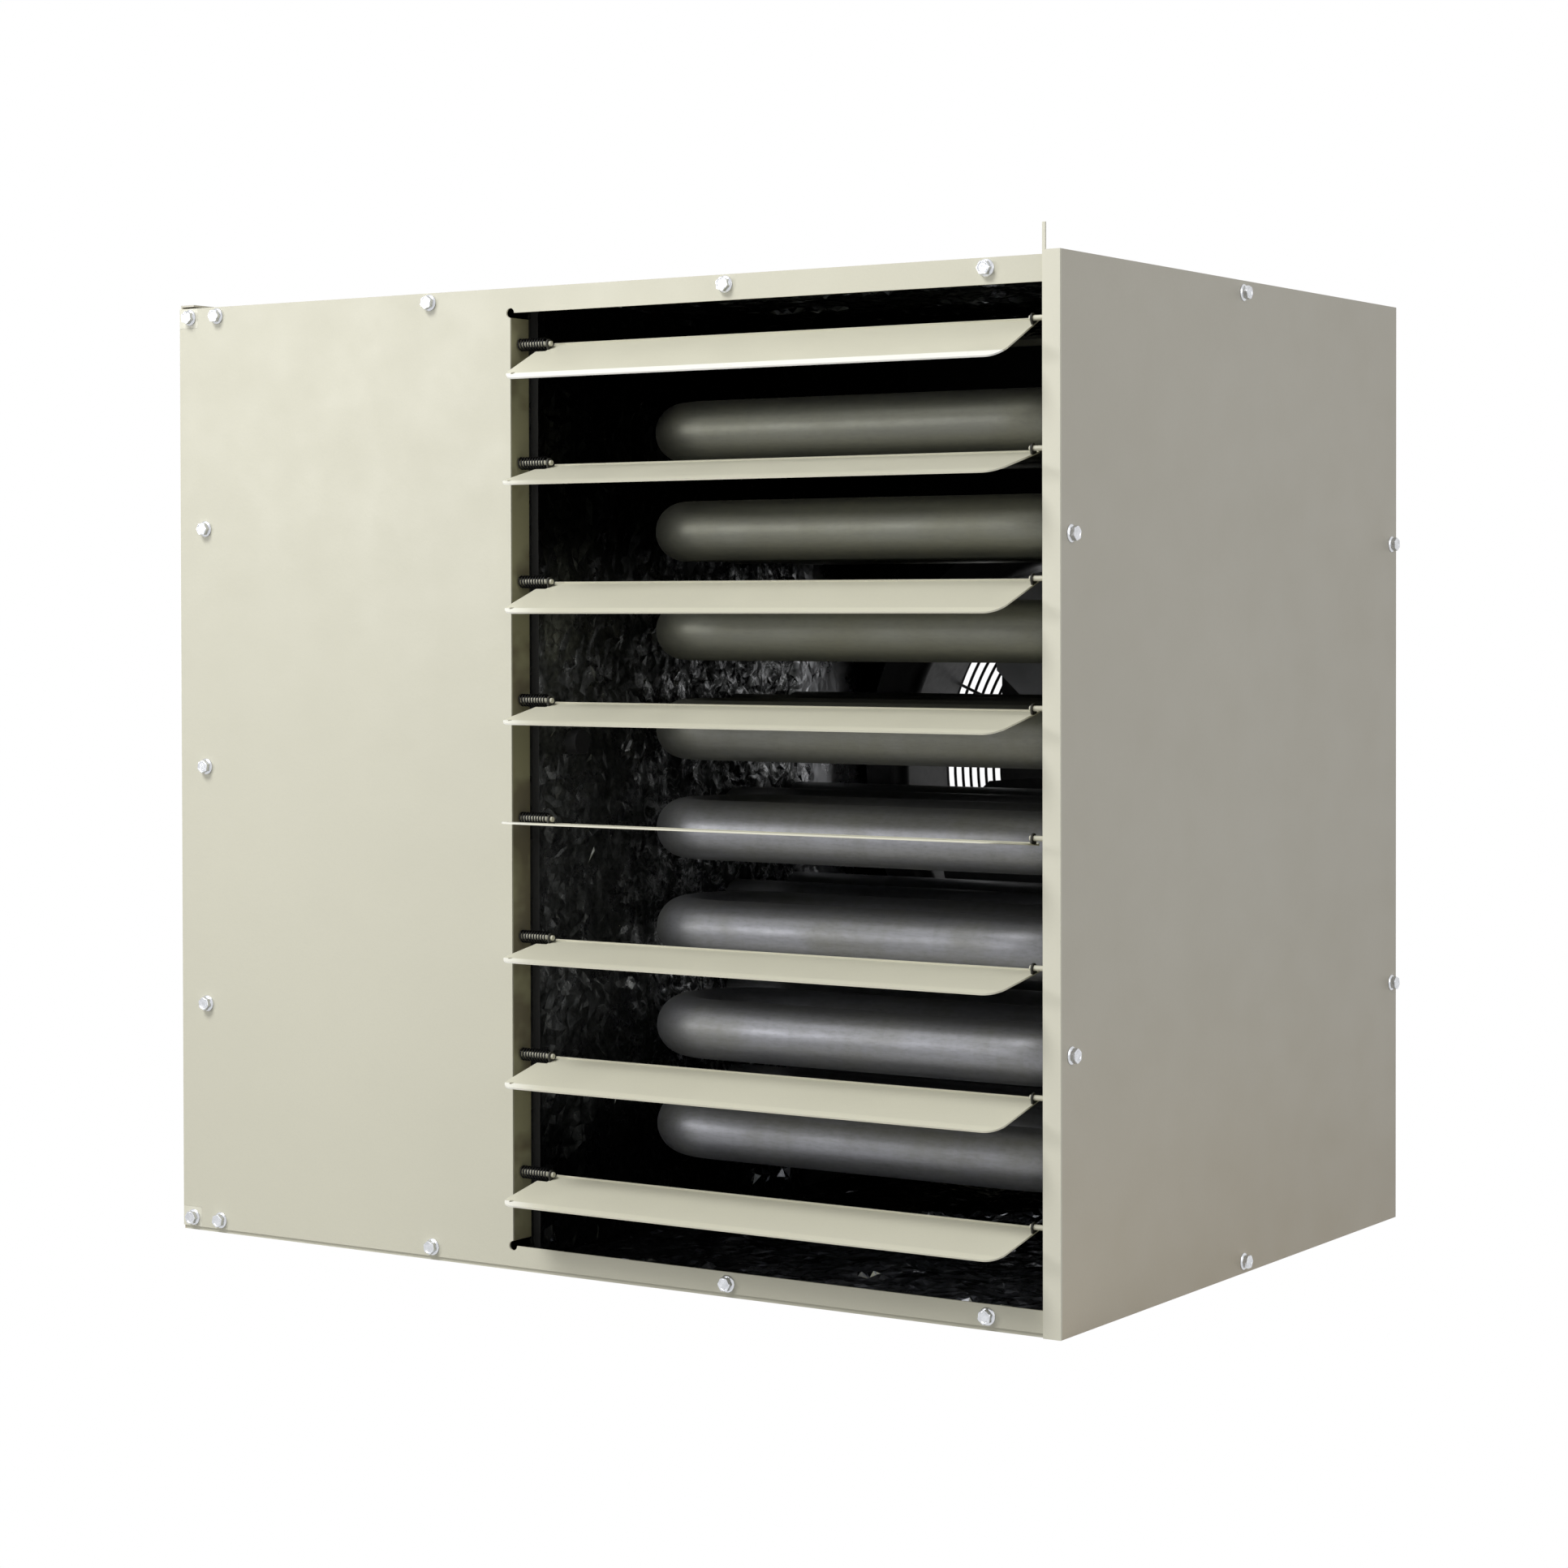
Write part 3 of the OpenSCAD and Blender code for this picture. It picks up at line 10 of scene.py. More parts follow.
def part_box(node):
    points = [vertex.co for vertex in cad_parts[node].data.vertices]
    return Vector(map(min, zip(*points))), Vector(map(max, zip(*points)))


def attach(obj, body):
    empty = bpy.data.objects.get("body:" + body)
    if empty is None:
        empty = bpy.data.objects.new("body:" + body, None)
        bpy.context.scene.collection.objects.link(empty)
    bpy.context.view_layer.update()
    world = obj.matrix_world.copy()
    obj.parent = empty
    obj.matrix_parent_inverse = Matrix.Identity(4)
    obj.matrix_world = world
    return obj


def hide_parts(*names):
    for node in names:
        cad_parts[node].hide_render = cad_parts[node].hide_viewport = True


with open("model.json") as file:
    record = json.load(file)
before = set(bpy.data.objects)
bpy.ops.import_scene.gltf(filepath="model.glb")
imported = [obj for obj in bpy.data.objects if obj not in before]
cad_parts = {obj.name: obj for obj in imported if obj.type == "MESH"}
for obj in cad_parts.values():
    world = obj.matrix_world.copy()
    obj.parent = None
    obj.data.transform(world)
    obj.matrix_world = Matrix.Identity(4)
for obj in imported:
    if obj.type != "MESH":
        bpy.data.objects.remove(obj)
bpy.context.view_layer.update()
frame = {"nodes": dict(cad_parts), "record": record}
scene = bpy.context.scene
nodes = frame["nodes"]

MM = 0.001
CAB_W, CAB_D, CAB_H = 0.668, 0.476, 0.618


def at(x, y, z):
    """Millimetres from the casing's left side, front flange and base, to metres in the row frame."""
    return Vector((x * MM - CAB_W / 2, y * MM - CAB_D / 2, z * MM))


# Camera, fitted to the casing's edges. The photograph's frame, focal length and principal point are in
# pixels.
FRAME_PX = 1932
FOCAL_PX = 4300.8
PRINCIPAL_Y_PX = 813.6
SENSOR_MM = 36

cam_data = bpy.data.cameras.new("camera")
cam = bpy.data.objects.new("camera", cam_data)
scene.collection.objects.link(cam)
cam.location = (1.2778, -1.9750, 0.4163)
cam.rotation_euler = (math.radians(90 - 0.885), math.radians(0.115), math.radians(33.042))
cam_data.sensor_width = SENSOR_MM
cam_data.lens = FOCAL_PX / FRAME_PX * SENSOR_MM
cam_data.shift_y = (PRINCIPAL_Y_PX - FRAME_PX / 2) / FRAME_PX
cam_data.clip_start = 0.05
cam_data.clip_end = 100
scene.camera = cam


# Material helpers
def add_math(tree, op, a, b):
    """A Math node. a and b are numbers or sockets."""
    n = tree.nodes.new("ShaderNodeMath")
    n.operation = op
    for s, v in ((0, a), (1, b)):
        if isinstance(v, (int, float)):
            n.inputs[s].default_value = v
        else:
            tree.links.new(v, n.inputs[s])
    return n.outputs[0]


class Mat:
    """A Principled material, its nodes added by the methods, with places in metres of the row frame."""

    def __init__(self, name, color, rough, metallic=0.0, specular=0.5):
        self.m = bpy.data.materials.new(name)
        self.m.use_nodes = True
        self.nt = self.m.node_tree
        self.nt.nodes.clear()
        self.out = self.nt.nodes.new("ShaderNodeOutputMaterial")
        self.b = self.nt.nodes.new("ShaderNodeBsdfPrincipled")
        self.nt.links.new(self.b.outputs[0], self.out.inputs[0])
        self.b.inputs["Base Color"].default_value = (*color, 1)
        self.b.inputs["Roughness"].default_value = rough
        self.b.inputs["Metallic"].default_value = metallic
        self.b.inputs["Specular IOR Level"].default_value = specular
        self.tc = self.nt.nodes.new("ShaderNodeTexCoord")
        self.m.diffuse_color = (*color, 1)

    def node(self, kind, **values):
        n = self.nt.nodes.new(kind)
        for k, v in values.items():
            if k in n.inputs:
                n.inputs[k].default_value = v
            else:
                setattr(n, k, v)
        return n

    def link(self, a, b):
        self.nt.links.new(a, b)

    def coords(self, stretch=(1, 1, 1)):
        m = self.node("ShaderNodeMapping")
        m.inputs["Scale"].default_value = stretch
        self.link(self.tc.outputs["Object"], m.inputs["Vector"])
        return m.outputs[0]

    def noise(self, scale, detail=2.0, rough=0.5, stretch=(1, 1, 1), distortion=0.0):
        n = self.node("ShaderNodeTexNoise", Scale=scale, Detail=detail, Roughness=rough,
                      Distortion=distortion)
        self.link(self.coords(stretch), n.inputs["Vector"])
        return n.outputs["Fac"]

    def voronoi(self, scale, feature="F1", out="Distance", randomness=1.0):
        n = self.node("ShaderNodeTexVoronoi")
        n.feature = feature
        n.inputs["Scale"].default_value = scale
        n.inputs["Randomness"].default_value = randomness
        self.link(self.coords(), n.inputs["Vector"])
        return n.outputs[out]

    def ramp(self, fac, stops):
        r = self.node("ShaderNodeValToRGB")
        e = r.color_ramp.elements
        while len(e) < len(stops):
            e.new(0.5)
        for i, (p, c) in enumerate(stops):
            e[i].position = p
            e[i].color = (*c, 1) if len(c) == 3 else c
        self.link(fac, r.inputs["Fac"])
        return r.outputs["Color"]

    def range(self, fac, lo, hi, f0=0.0, f1=1.0):
        r = self.node("ShaderNodeMapRange")
        r.inputs["From Min"].default_value = f0
        r.inputs["From Max"].default_value = f1
        r.inputs["To Min"].default_value = lo
        r.inputs["To Max"].default_value = hi
        self.link(fac, r.inputs["Value"])
        return r.outputs[0]

    def mix(self, fac, a, b, kind="MIX"):
        n = self.node("ShaderNodeMix")
        n.data_type = "RGBA"
        n.blend_type = kind
        for s, v in ((0, fac), (6, a), (7, b)):
            if isinstance(v, (int, float)):
                n.inputs[s].default_value = v
            elif isinstance(v, tuple):
                n.inputs[s].default_value = (*v, 1)
            else:
                self.link(v, n.inputs[s])
        return n.outputs[2]

    def math(self, op, a, b=0.0):
        return add_math(self.nt, op, a, b)

    def color(self, socket):
        self.link(socket, self.b.inputs["Base Color"])

    def rough(self, socket):
        self.link(socket, self.b.inputs["Roughness"])

    def bump(self, heights):
        """heights: (socket, strength, distance in metres)"""
        last = None
        for h, s, d in heights:
            n = self.node("ShaderNodeBump")
            n.inputs["Strength"].default_value = s
            n.inputs["Distance"].default_value = d
            self.link(h, n.inputs["Height"])
            if last is not None:
                self.link(last, n.inputs["Normal"])
            last = n.outputs[0]
        self.link(last, self.b.inputs["Normal"])


def srgb(r, g, b):
    f = lambda c: c / 255 / 12.92 if c / 255 <= 0.04045 else ((c / 255 + 0.055) / 1.055) ** 2.4
    return (f(r), f(g), f(b))


def scaled(c, k):
    return tuple(v * k for v in c)


# Materials
def powder(name, rgb, rough=0.42, shade=None):
    """Powder coat. shade(m, tone) may change the tone by place."""
    c = srgb(*rgb)
    m = Mat(name, c, rough, specular=0.45)
    broad = m.noise(3.5, 3, 0.55)
    cloud = m.noise(26, 4, 0.6)
    grain = m.noise(900, 2, 0.6)
    tone = m.mix(m.range(broad, 0.0, 1.0, 0.3, 0.7), scaled(c, 0.975), scaled(c, 1.02))
    tone = m.mix(m.range(cloud, 0.0, 0.35, 0.35, 0.75), tone, scaled(c, 0.965))
    tone = m.mix(m.range(grain, 0.0, 0.5, 0.4, 0.75), tone, scaled(c, 0.95))
    if shade:
        tone = shade(m, tone)
    m.color(tone)
    m.rough(m.range(cloud, rough - 0.05, rough + 0.07, 0.3, 0.7))
    m.bump([(m.noise(420, 2, 0.5), 0.12, 0.0004), (grain, 0.08, 0.0002), (m.noise(5, 2, 0.5), 0.25, 0.004)])
    return m.m


def places(m):
    """X, Y and Z sockets of the row frame, in metres."""
    sep = m.node("ShaderNodeSeparateXYZ")
    m.link(m.tc.outputs["Object"], sep.inputs[0])
    return sep.outputs


def front_painted_shade(m, tone):
    """Painted shade on the folded flanges behind the front: an olive beige, darker in noisy patches, for the
    shade and the blades' shadows there.
    """
    x, y, z = places(m)
    inside = m.range(y, 0, 1, -0.2362, -0.2350)
    shade_patch = m.range(m.noise(16, 3, 0.6, stretch=(1, 1, 1.4)), 0, 1, 0.42, 0.58)
    # the olive painted shade, darker where the patches are
    coat = m.mix(shade_patch, srgb(168, 165, 132), srgb(128, 121, 98))
    return m.mix(inside, tone, coat)


def side_painted_light(m, tone):
    """The front flange painted lighter than the front's coat and a warm painted sheen towards the bottom,
    both painted light; and a darker tone towards the rear.
    """
    x, y, z = places(m)
    # warm painted sheen towards the bottom, for the floor's reflection on the side
    low = m.math("POWER", m.range(z, 1, 0, 0.0, 0.26), 1.6)
    tone = m.mix(m.math("MULTIPLY", low, 0.75), tone, srgb(203, 191, 166))
    # darker towards the rear
    rear = m.range(y, 0, 0.35, 0.0, 0.238)
    tone = m.mix(rear, tone, srgb(194, 188, 172))
    # the front flange painted lighter than the front's coat: painted light on the fold
    return m.mix(m.range(y, 1, 0, -0.2366, -0.2362), tone, srgb(222, 220, 203))


def zinc_sheet(name, rgb, rough=0.38, metallic=0.9, spangle=70, shade=None):
    c = srgb(*rgb)
    m = Mat(name, c, rough, metallic)
    cells = m.voronoi(spangle, out="Color")
    sep = m.node("ShaderNodeSeparateColor")
    m.link(cells, sep.inputs[0])
    cloud = m.noise(9, 4, 0.6)
    tone = m.mix(m.range(sep.outputs[0], 0, 1), scaled(c, 0.86), scaled(c, 1.1))
    tone = m.mix(m.range(cloud, 0.0, 0.5, 0.4, 0.7), tone, scaled(c, 0.78))
    if shade:
        tone = shade(m, tone)
    m.color(tone)
    m.rough(m.range(sep.outputs[1], rough - 0.08, rough + 0.12))
    m.bump([(m.noise(240, 3, 0.6), 0.08, 0.0004), (m.noise(6, 2, 0.5), 0.3, 0.004)])
    return m.m


def tube_metal():
    # Upper tubes darker and olive, lower ones lighter and bluer: painted shade from the blades above.
    low, upper_shaded = srgb(147, 148, 154), srgb(122, 123, 113)
    m = Mat("aluminised_tube", upper_shaded, 0.4, 0.78)
    x, y, z = places(m)
    c = m.mix(m.range(z, 0, 1, 0.27, 0.36), low, upper_shaded)
    streak = m.noise(60, 5, 0.65, stretch=(0.08, 1.2, 1.2))
    blot = m.noise(22, 5, 0.65)
    fine = m.noise(700, 3, 0.6, stretch=(0.25, 1, 1))
    cross = m.noise(120, 3, 0.6, stretch=(1, 0.05, 0.05))
    tone = m.mix(m.range(streak, 0.0, 0.4, 0.35, 0.7), c, (0.12, 0.12, 0.11))
    tone = m.mix(m.range(blot, 0, 0.5, 0.45, 0.75), tone, srgb(118, 117, 100))
    tone = m.mix(m.range(cross, 0, 0.12, 0.45, 0.7), tone, srgb(104, 104, 98))
    tone = m.mix(m.range(fine, 0, 0.35, 0.45, 0.8), tone, srgb(96, 96, 92))
    m.color(tone)
    m.rough(m.range(blot, 0.4, 0.52, 0.3, 0.7))
    m.bump([(fine, 0.12, 0.0003), (blot, 0.14, 0.0015)])
    return m.m


def foil(name, rgb, rough, soot_rgb, soot_share, wrinkle, shade=None):
    c = srgb(*rgb)
    m = Mat(name, c, rough, 1.0)
    cloud = m.noise(11, 4, 0.6)
    soot = m.noise(38, 5, 0.7)
    fleck = m.noise(150, 4, 0.75)
    tone = m.mix(m.range(cloud, 0, 1, 0.35, 0.7), scaled(c, 0.5), c)
    tone = m.mix(m.range(soot, 0, soot_share, 0.42, 0.66), tone, srgb(*soot_rgb))
    tone = m.mix(m.range(fleck, 0, soot_share * 0.6, 0.5, 0.7), tone, srgb(*soot_rgb))
    if shade:
        tone = shade(m, tone)
    m.color(tone)
    m.rough(m.range(soot, rough, rough + 0.2, 0.35, 0.7))
    m.bump([(m.voronoi(90, feature="F2"), wrinkle, 0.0012), (fleck, wrinkle * 0.5, 0.0004)])
    return m.m


def partition_painted_light(m, tone):
    """Painted shade and light on the partition's foil: near black at the top and at the bottom, where shade
    falls, a light mottle towards the back and near white at the rear, for the light from the fan opening.
    """
    x, y, z = places(m)
    black = srgb(12, 14, 12)
    ragged = m.noise(7, 3, 0.6)
    flakes = m.range(m.noise(70, 5, 0.8, distortion=1.2), 0, 1, 0.5, 0.6)
    # painted light: a mottle of dark and near white flakes towards the back
    painted_lit_mottle = m.mix(flakes, srgb(62, 64, 64), srgb(240, 241, 243))
    tone = m.mix(m.range(y, 0, 0.85, -0.13, -0.06), tone, painted_lit_mottle)
    # painted light, near white at the rear
    tone = m.mix(m.range(y, 0, 1, 0.085, 0.1), tone, srgb(226, 227, 230))
    # painted shade, near black at the top and the bottom, with a ragged edge
    up = m.math("ADD", z, m.math("MULTIPLY", m.math("SUBTRACT", ragged, 0.5), 0.10))
    tone = m.mix(m.range(up, 0, 0.95, 0.41, 0.46), tone, black)
    return m.mix(m.range(up, 0.8, 0, 0.07, 0.12), tone, black)


def rear_painted_shade(m, tone):
    """Inner face of the rear panel painted near black: painted shade."""
    x, y, z = places(m)
    return m.mix(m.range(y, 1, 0, 0.2360, 0.2366), tone, srgb(24, 25, 24))


def dull_metal(name, rgb, rough, metallic, scale=80):
    c = srgb(*rgb)
    m = Mat(name, c, rough, metallic)
    n = m.noise(scale, 4, 0.6)
    m.color(m.mix(m.range(n, 0, 1, 0.3, 0.7), scaled(c, 0.86), scaled(c, 1.1)))
    m.rough(m.range(n, rough - 0.07, rough + 0.09, 0.3, 0.7))
    m.bump([(m.noise(scale * 8, 2, 0.6), 0.1, 0.0003)])
    return m.m


def plastic(name, rgb, rough, scale=300):
    c = srgb(*rgb)
    m = Mat(name, c, rough, specular=0.4)
    n = m.noise(scale, 3, 0.6)
    m.color(m.mix(m.range(n, 0, 1, 0.35, 0.7), scaled(c, 0.9), scaled(c, 1.1)))
    m.rough(m.range(n, rough - 0.04, rough + 0.08, 0.3, 0.7))
    m.bump([(n, 0.12, 0.0003)])
    return m.m


def board_material():
    m = Mat("circuit_board", (0.01, 0.06, 0.02), 0.4)
    lines = m.voronoi(220, feature="DISTANCE_TO_EDGE", randomness=0.15)
    m.color(m.mix(m.range(lines, 1, 0, 0.02, 0.05), (0.008, 0.06, 0.02), (0.03, 0.14, 0.05)))
    m.bump([(lines, 0.2, 0.0003)])
    return m.m


BEIGE = powder("beige_powder_coat", (211, 209, 191))
FRONT = powder("front_powder_coat", (211, 209, 191), shade=front_painted_shade)
# The blades' coat is the beige made a little lighter: painted light on their upward faces.
BLADE_LIT = powder("blade_powder_coat", (216, 214, 195), 0.36)
# Near white coat for the upper blade's front band and hem: a painted highlight.
PAINTED_HIGHLIGHT = powder("painted_highlight_coat", (247, 247, 240), 0.3)
SHADED = powder("shaded_powder_coat", (46, 45, 40), 0.6)
# The side's coat is the beige made a little darker and warmer: painted shade.
SIDE_SHADED = powder("side_powder_coat", (204, 200, 186), 0.36, shade=side_painted_light)
TUBE = tube_metal()
FOIL = foil("foil_facing", (214, 216, 222), 0.1, (60, 62, 62), 0.5, 0.25)
FOIL_DULL = foil("foil_facing_aged", (176, 178, 174), 0.26, (56, 57, 54), 0.85, 0.45)
# Random soot, with the partition's painted shade and light.
FOIL_SOOT_AND_LIGHT = foil("foil_facing_sooty_painted_light", (190, 192, 188), 0.22, (40, 42, 38), 0.9, 0.45, shade=partition_painted_light)
GLINT = dull_metal("bright_foil", (236, 240, 248), 0.12, 1.0, 120)
CORE = plastic("insulation_core", (26, 26, 25), 0.8)
GALV = zinc_sheet("galvanised_sheet", (176, 177, 178))
REAR = zinc_sheet("rear_galvanised_painted_shade", (176, 177, 178), shade=rear_painted_shade)
DARK = zinc_sheet("partition_steel", (98, 99, 98), 0.3)
ZINC = dull_metal("bright_zinc", (214, 216, 220), 0.24, 0.95, 400)
BLACK = dull_metal("black_enamel", (34, 34, 35), 0.4, 0.2, 200)
SPRING = dull_metal("blackened_spring", (20, 20, 21), 0.38, 0.6, 500)
BPLAS = plastic("black_plastic", (30, 30, 32), 0.5)
RUBBER = plastic("black_rubber", (24, 24, 24), 0.75)
BRASS = dull_metal("brass", (196, 160, 90), 0.3, 0.95)
CAST = dull_metal("die_cast", (170, 170, 172), 0.5, 0.75, 260)
PCB = board_material()
CERAMIC = plastic("glazed_ceramic", (228, 222, 206), 0.25, 60)
RED = plastic("red_plastic", (190, 30, 24), 0.35)
TRAFO = dull_metal("transformer_steel", (74, 74, 78), 0.45, 0.5, 160)
WHITE = dull_metal("white_bracket", (88, 88, 88), 0.4, 0.6, 120)
ALUM = dull_metal("fan_aluminium", (140, 141, 143), 0.38, 0.9, 60)


def edge_highlight_coat():
    """Beige coat, a little lighter than the front's, with a painted highlight that turns it pale towards a
    blade's left end, where the bent edge catches the light.
    """
    c = srgb(216, 214, 195)
    m = Mat("edge_painted_highlight_coat", c, 0.36, specular=0.5)
    x, y, z = places(m)
    grain = m.noise(900, 2, 0.6)
    # painted highlight, strongest at the blade's left end
    left = m.range(x, 1, 0, -0.0415, 0.004)
    left = m.math("POWER", left, 2.2)
    tone = m.mix(m.range(grain, 0.0, 0.5, 0.4, 0.75), scaled(c, 1.03), scaled(c, 0.97))
    m.color(m.mix(left, tone, srgb(250, 250, 244)))
    m.bump([(m.noise(420, 2, 0.5), 0.12, 0.0004)])
    return m.m


EDGE = edge_highlight_coat()

BY_SLOT = {
    "beige_powder_coat": BEIGE, "side_powder_coat": SIDE_SHADED, "galvanised_sheet": GALV, "aluminised_steel": TUBE,
    "partition_steel": DARK, "foil_liner": FOIL, "zinc_plated": ZINC, "black_enamel": BLACK,
    "black_spring_steel": SPRING, "black_plastic": BPLAS, "black_rubber": RUBBER, "brass": BRASS,
    "die_cast": CAST, "circuit_board": PCB, "ceramic": CERAMIC, "red_plastic": RED,
    "transformer_steel": TRAFO, "white_bracket": WHITE, "fan_aluminium": ALUM,
}
slot_of = {s["node"]: s["material_slot"] for s in frame["record"]["subparts"]}
BY_NODE = {"front_panel": FRONT, "rear_panel": REAR}
for name, o in nodes.items():
    m = BY_NODE.get(name) or BY_SLOT[slot_of[name]]
    if not o.material_slots:
        o.data.materials.append(m)
    for s in o.material_slots:
        s.material = m


# Mesh helpers
def new_object(name, bm, material, body, replaces=(), smooth=True, more=()):
    me = bpy.data.meshes.new(name)
    bmesh.ops.recalc_face_normals(bm, faces=bm.faces)
    bm.to_mesh(me)
    bm.free()
    o = bpy.data.objects.new(name, me)
    scene.collection.objects.link(o)
    for m in (material, *more):
        me.materials.append(m)
    if smooth:
        for p in me.polygons:
            p.use_smooth = True
    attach(o, body)
    if replaces:
        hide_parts(*replaces)
    return o


def ridged(p, seed):
    """Height of a crumpled sheet at p: three sizes of sharp folds."""
    q = p + Vector((seed * 17.3, seed * 5.1, seed * 9.7))
    a = abs(noise.noise(q * 9))
    b = abs(noise.noise(q * 23 + Vector((3, 8, 1)))) * 0.6
    c = abs(noise.noise(q * 61 + Vector((9, 2, 4)))) * 0.34
    return a + b + c


def crumpled(name, node, face_axis, face_sign, depth, seed, material, step=6.0, calm=None, peaks=()):
    """A foil facing over a CAD liner: the liner's box, its open face crumpled into flat facets up to depth
    deep. step is the facets' size in millimetres, and calm a Y beyond which the facing lies almost flat.
    peaks are places with steep bright creases, each the two coordinates in the face and the two half widths,
    in millimetres."""
    rng = random.Random(seed)
    lo, hi = (Vector(v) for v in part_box(node))
    u, v = [a for a in range(3) if a != face_axis]
    nu = max(2, round((hi[u] - lo[u]) / (step * MM)))
    nv = max(2, round((hi[v] - lo[v]) / (step * MM)))
    du, dv = (hi[u] - lo[u]) / nu, (hi[v] - lo[v]) / nv
    face = hi[face_axis] if face_sign > 0 else lo[face_axis]
    back = lo[face_axis] if face_sign > 0 else hi[face_axis]
    off = (CAB_W / 2, CAB_D / 2, 0)

    def steep(p):
        pu, pv = (p[u] + off[u]) / MM, (p[v] + off[v]) / MM
        return any(((pu - a) / ra) ** 2 + ((pv - b) / rb) ** 2 < 1 for a, b, ra, rb in peaks)

    bm = bmesh.new()
    top, low = [], []
    for i in range(nu + 1):
        row_t, row_l = [], []
        for j in range(nv + 1):
            edge = min(i, j, nu - i, nv - j)
            p = Vector((0, 0, 0))
            p[u] = lo[u] + du * (i + (rng.uniform(-0.36, 0.36) if edge else 0))
            p[v] = lo[v] + dv * (j + (rng.uniform(-0.36, 0.36) if edge else 0))
            p[face_axis] = face
            h = min(1.0, ridged(p, seed) * 1.5) * 0.8 + rng.random() * 0.2
            if calm is not None and p.y > calm:
                h = 0.5 + (h - 0.5) * max(0.06, 1 - (p.y - calm) / 0.03)
            if steep(p):
                h = rng.random()
            q = p.copy()
            q[face_axis] = face - face_sign * depth * min(1.0, edge / 2 + 0.15) * h
            row_t.append(bm.verts.new(q))
            if edge == 0:
                b = p.copy()
                b[face_axis] = back
                row_l.append(bm.verts.new(b))
            else:
                row_l.append(None)
        top.append(row_t)
        low.append(row_l)
    for i in range(nu):
        for j in range(nv):
            a, b, c, d = top[i][j], top[i + 1][j], top[i + 1][j + 1], top[i][j + 1]
            for f in ((a, b, c), (a, c, d)) if rng.random() < 0.5 else ((a, b, d), (b, c, d)):
                made = bm.faces.new(f)
                if steep(a.co) and rng.random() < 0.6:
                    made.material_index = 2
    rim = [(i, 0) for i in range(nu)] + [(nu, j) for j in range(nv)]
    rim += [(i, nv) for i in range(nu, 0, -1)] + [(0, j) for j in range(nv, 0, -1)]
    for k, (i, j) in enumerate(rim):
        i2, j2 = rim[(k + 1) % len(rim)]
        bm.faces.new((top[i][j], top[i2][j2], low[i2][j2], low[i][j])).material_index = 1
    bm.faces.new([low[i][j] for i, j in rim]).material_index = 1
    return new_object(name, bm, material, "cabinet", (node,), smooth=False, more=(CORE, GLINT))


crumpled("floor_foil", "floor_liner", 2, 1, 0.0052, 1, FOIL, 4.5, peaks=(
    (345, 44, 14, 7), (378, 60, 12, 6), (418, 291, 26, 9), (458, 309, 30, 12), (474, 332, 18, 12),
    (492, 88, 16, 7), (592, 48, 16, 6), (300, 34, 12, 6)))
crumpled("top_foil", "top_liner", 2, -1, 0.0052, 2, FOIL, 4.5, peaks=(
    (377, 195, 30, 10), (467, 111, 30, 8), (505, 186, 24, 9)))
crumpled("right_foil", "right_liner", 0, -1, 0.0048, 3, FOIL_DULL)
crumpled("partition_foil", "partition_liner", 0, 1, 0.0048, 4, FOIL_SOOT_AND_LIGHT, 5.0,
         calm=0.33 - CAB_D / 2, peaks=((300, 20, 40, 7), (34, 14, 6, 6)))


# Swept and lofted pieces
def sweep(bm, points, tangents, radius, sides, first_normal, inner=None):
    """A round tube along the points. inner is the bore's radius for an open pipe."""
    def rings(r):
        loops = []
        n = first_normal.normalized()
        for p, t in zip(points, tangents):
            t = t.normalized()
            n = (n - t * n.dot(t)).normalized()
            b = t.cross(n)
            loops.append([bm.verts.new(p + r * (math.cos(a) * n + math.sin(a) * b))
                          for a in (2 * math.pi * k / sides for k in range(sides))])
        return loops

    def skin(loops):
        for a, b in zip(loops, loops[1:]):
            for k in range(sides):
                m = (k + 1) % sides
                bm.faces.new((a[k], a[m], b[m], b[k]))

    outer = rings(radius)
    skin(outer)
    if inner is None:
        bm.faces.new(outer[0])
        bm.faces.new(outer[-1])
        return
    core = rings(inner)
    skin(core)
    for o, c in ((outer[0], core[0]), (outer[-1], core[-1])):
        for k in range(sides):
            m = (k + 1) % sides
            bm.faces.new((o[k], o[m], c[m], c[k]))


def sharp_by_angle(o, degrees):
    o.data.set_sharp_from_angle(angle=math.radians(degrees))


# The louvers' axes, from the upper one down
LOUVERS = 8
PIVOT_TOP, PIVOT_SPAN = 580.4, 519.5
PIVOTS = [PIVOT_TOP - PIVOT_SPAN / 7 * k for k in range(LOUVERS)]
PIVOT_Y = 10.5


def louver_springs():
    """A close coil round each left pin, both ends run out a little along the wire."""
    bm = bmesh.new()
    wire, od, curls, steps_a_curl = 0.5 * MM, 8.2 * MM, 10, 28
    x0, x1 = 277.8, 299.9
    coil_r = od / 2 - wire
    steps = curls * steps_a_curl
    length = (x1 - x0) * MM - 2 * wire
    for z in PIVOTS:
        base = at(x0, PIVOT_Y, z)
        pts, tans = [], []
        for i in range(steps + 1):
            a = 2 * math.pi * curls * i / steps
            pts.append(base + Vector((wire + length * i / steps, coil_r * math.cos(a), coil_r * math.sin(a))))
            tans.append(Vector((length / (2 * math.pi * curls), -coil_r * math.sin(a), coil_r * math.cos(a))))
        for end, step in ((0, -1), (-1, 1)):
            t = tans[end].normalized()
            q = pts[end] + t * step * 2.0 * wire
            if end == 0:
                pts.insert(0, q)
                tans.insert(0, t)
            else:
                pts.append(q)
                tans.append(t)
        sweep(bm, pts, tans, wire, 12, Vector((0, 1, 0)))
    o = new_object("louver_coils", bm, SPRING, "cabinet", ("louver_springs",))
    sharp_by_angle(o, 50)


TUBE_R, TUBE_BORE_R = 19.05, 17.85
TUBE_TOP, TUBE_PITCH = 528, 63.5
ROW_FRONT, ROW_PITCH = 98, 76.2
BEND_LEFT, BEND_INNER, BEND_RIGHT = 306, 602, 648
PARTITION_X = 276.3


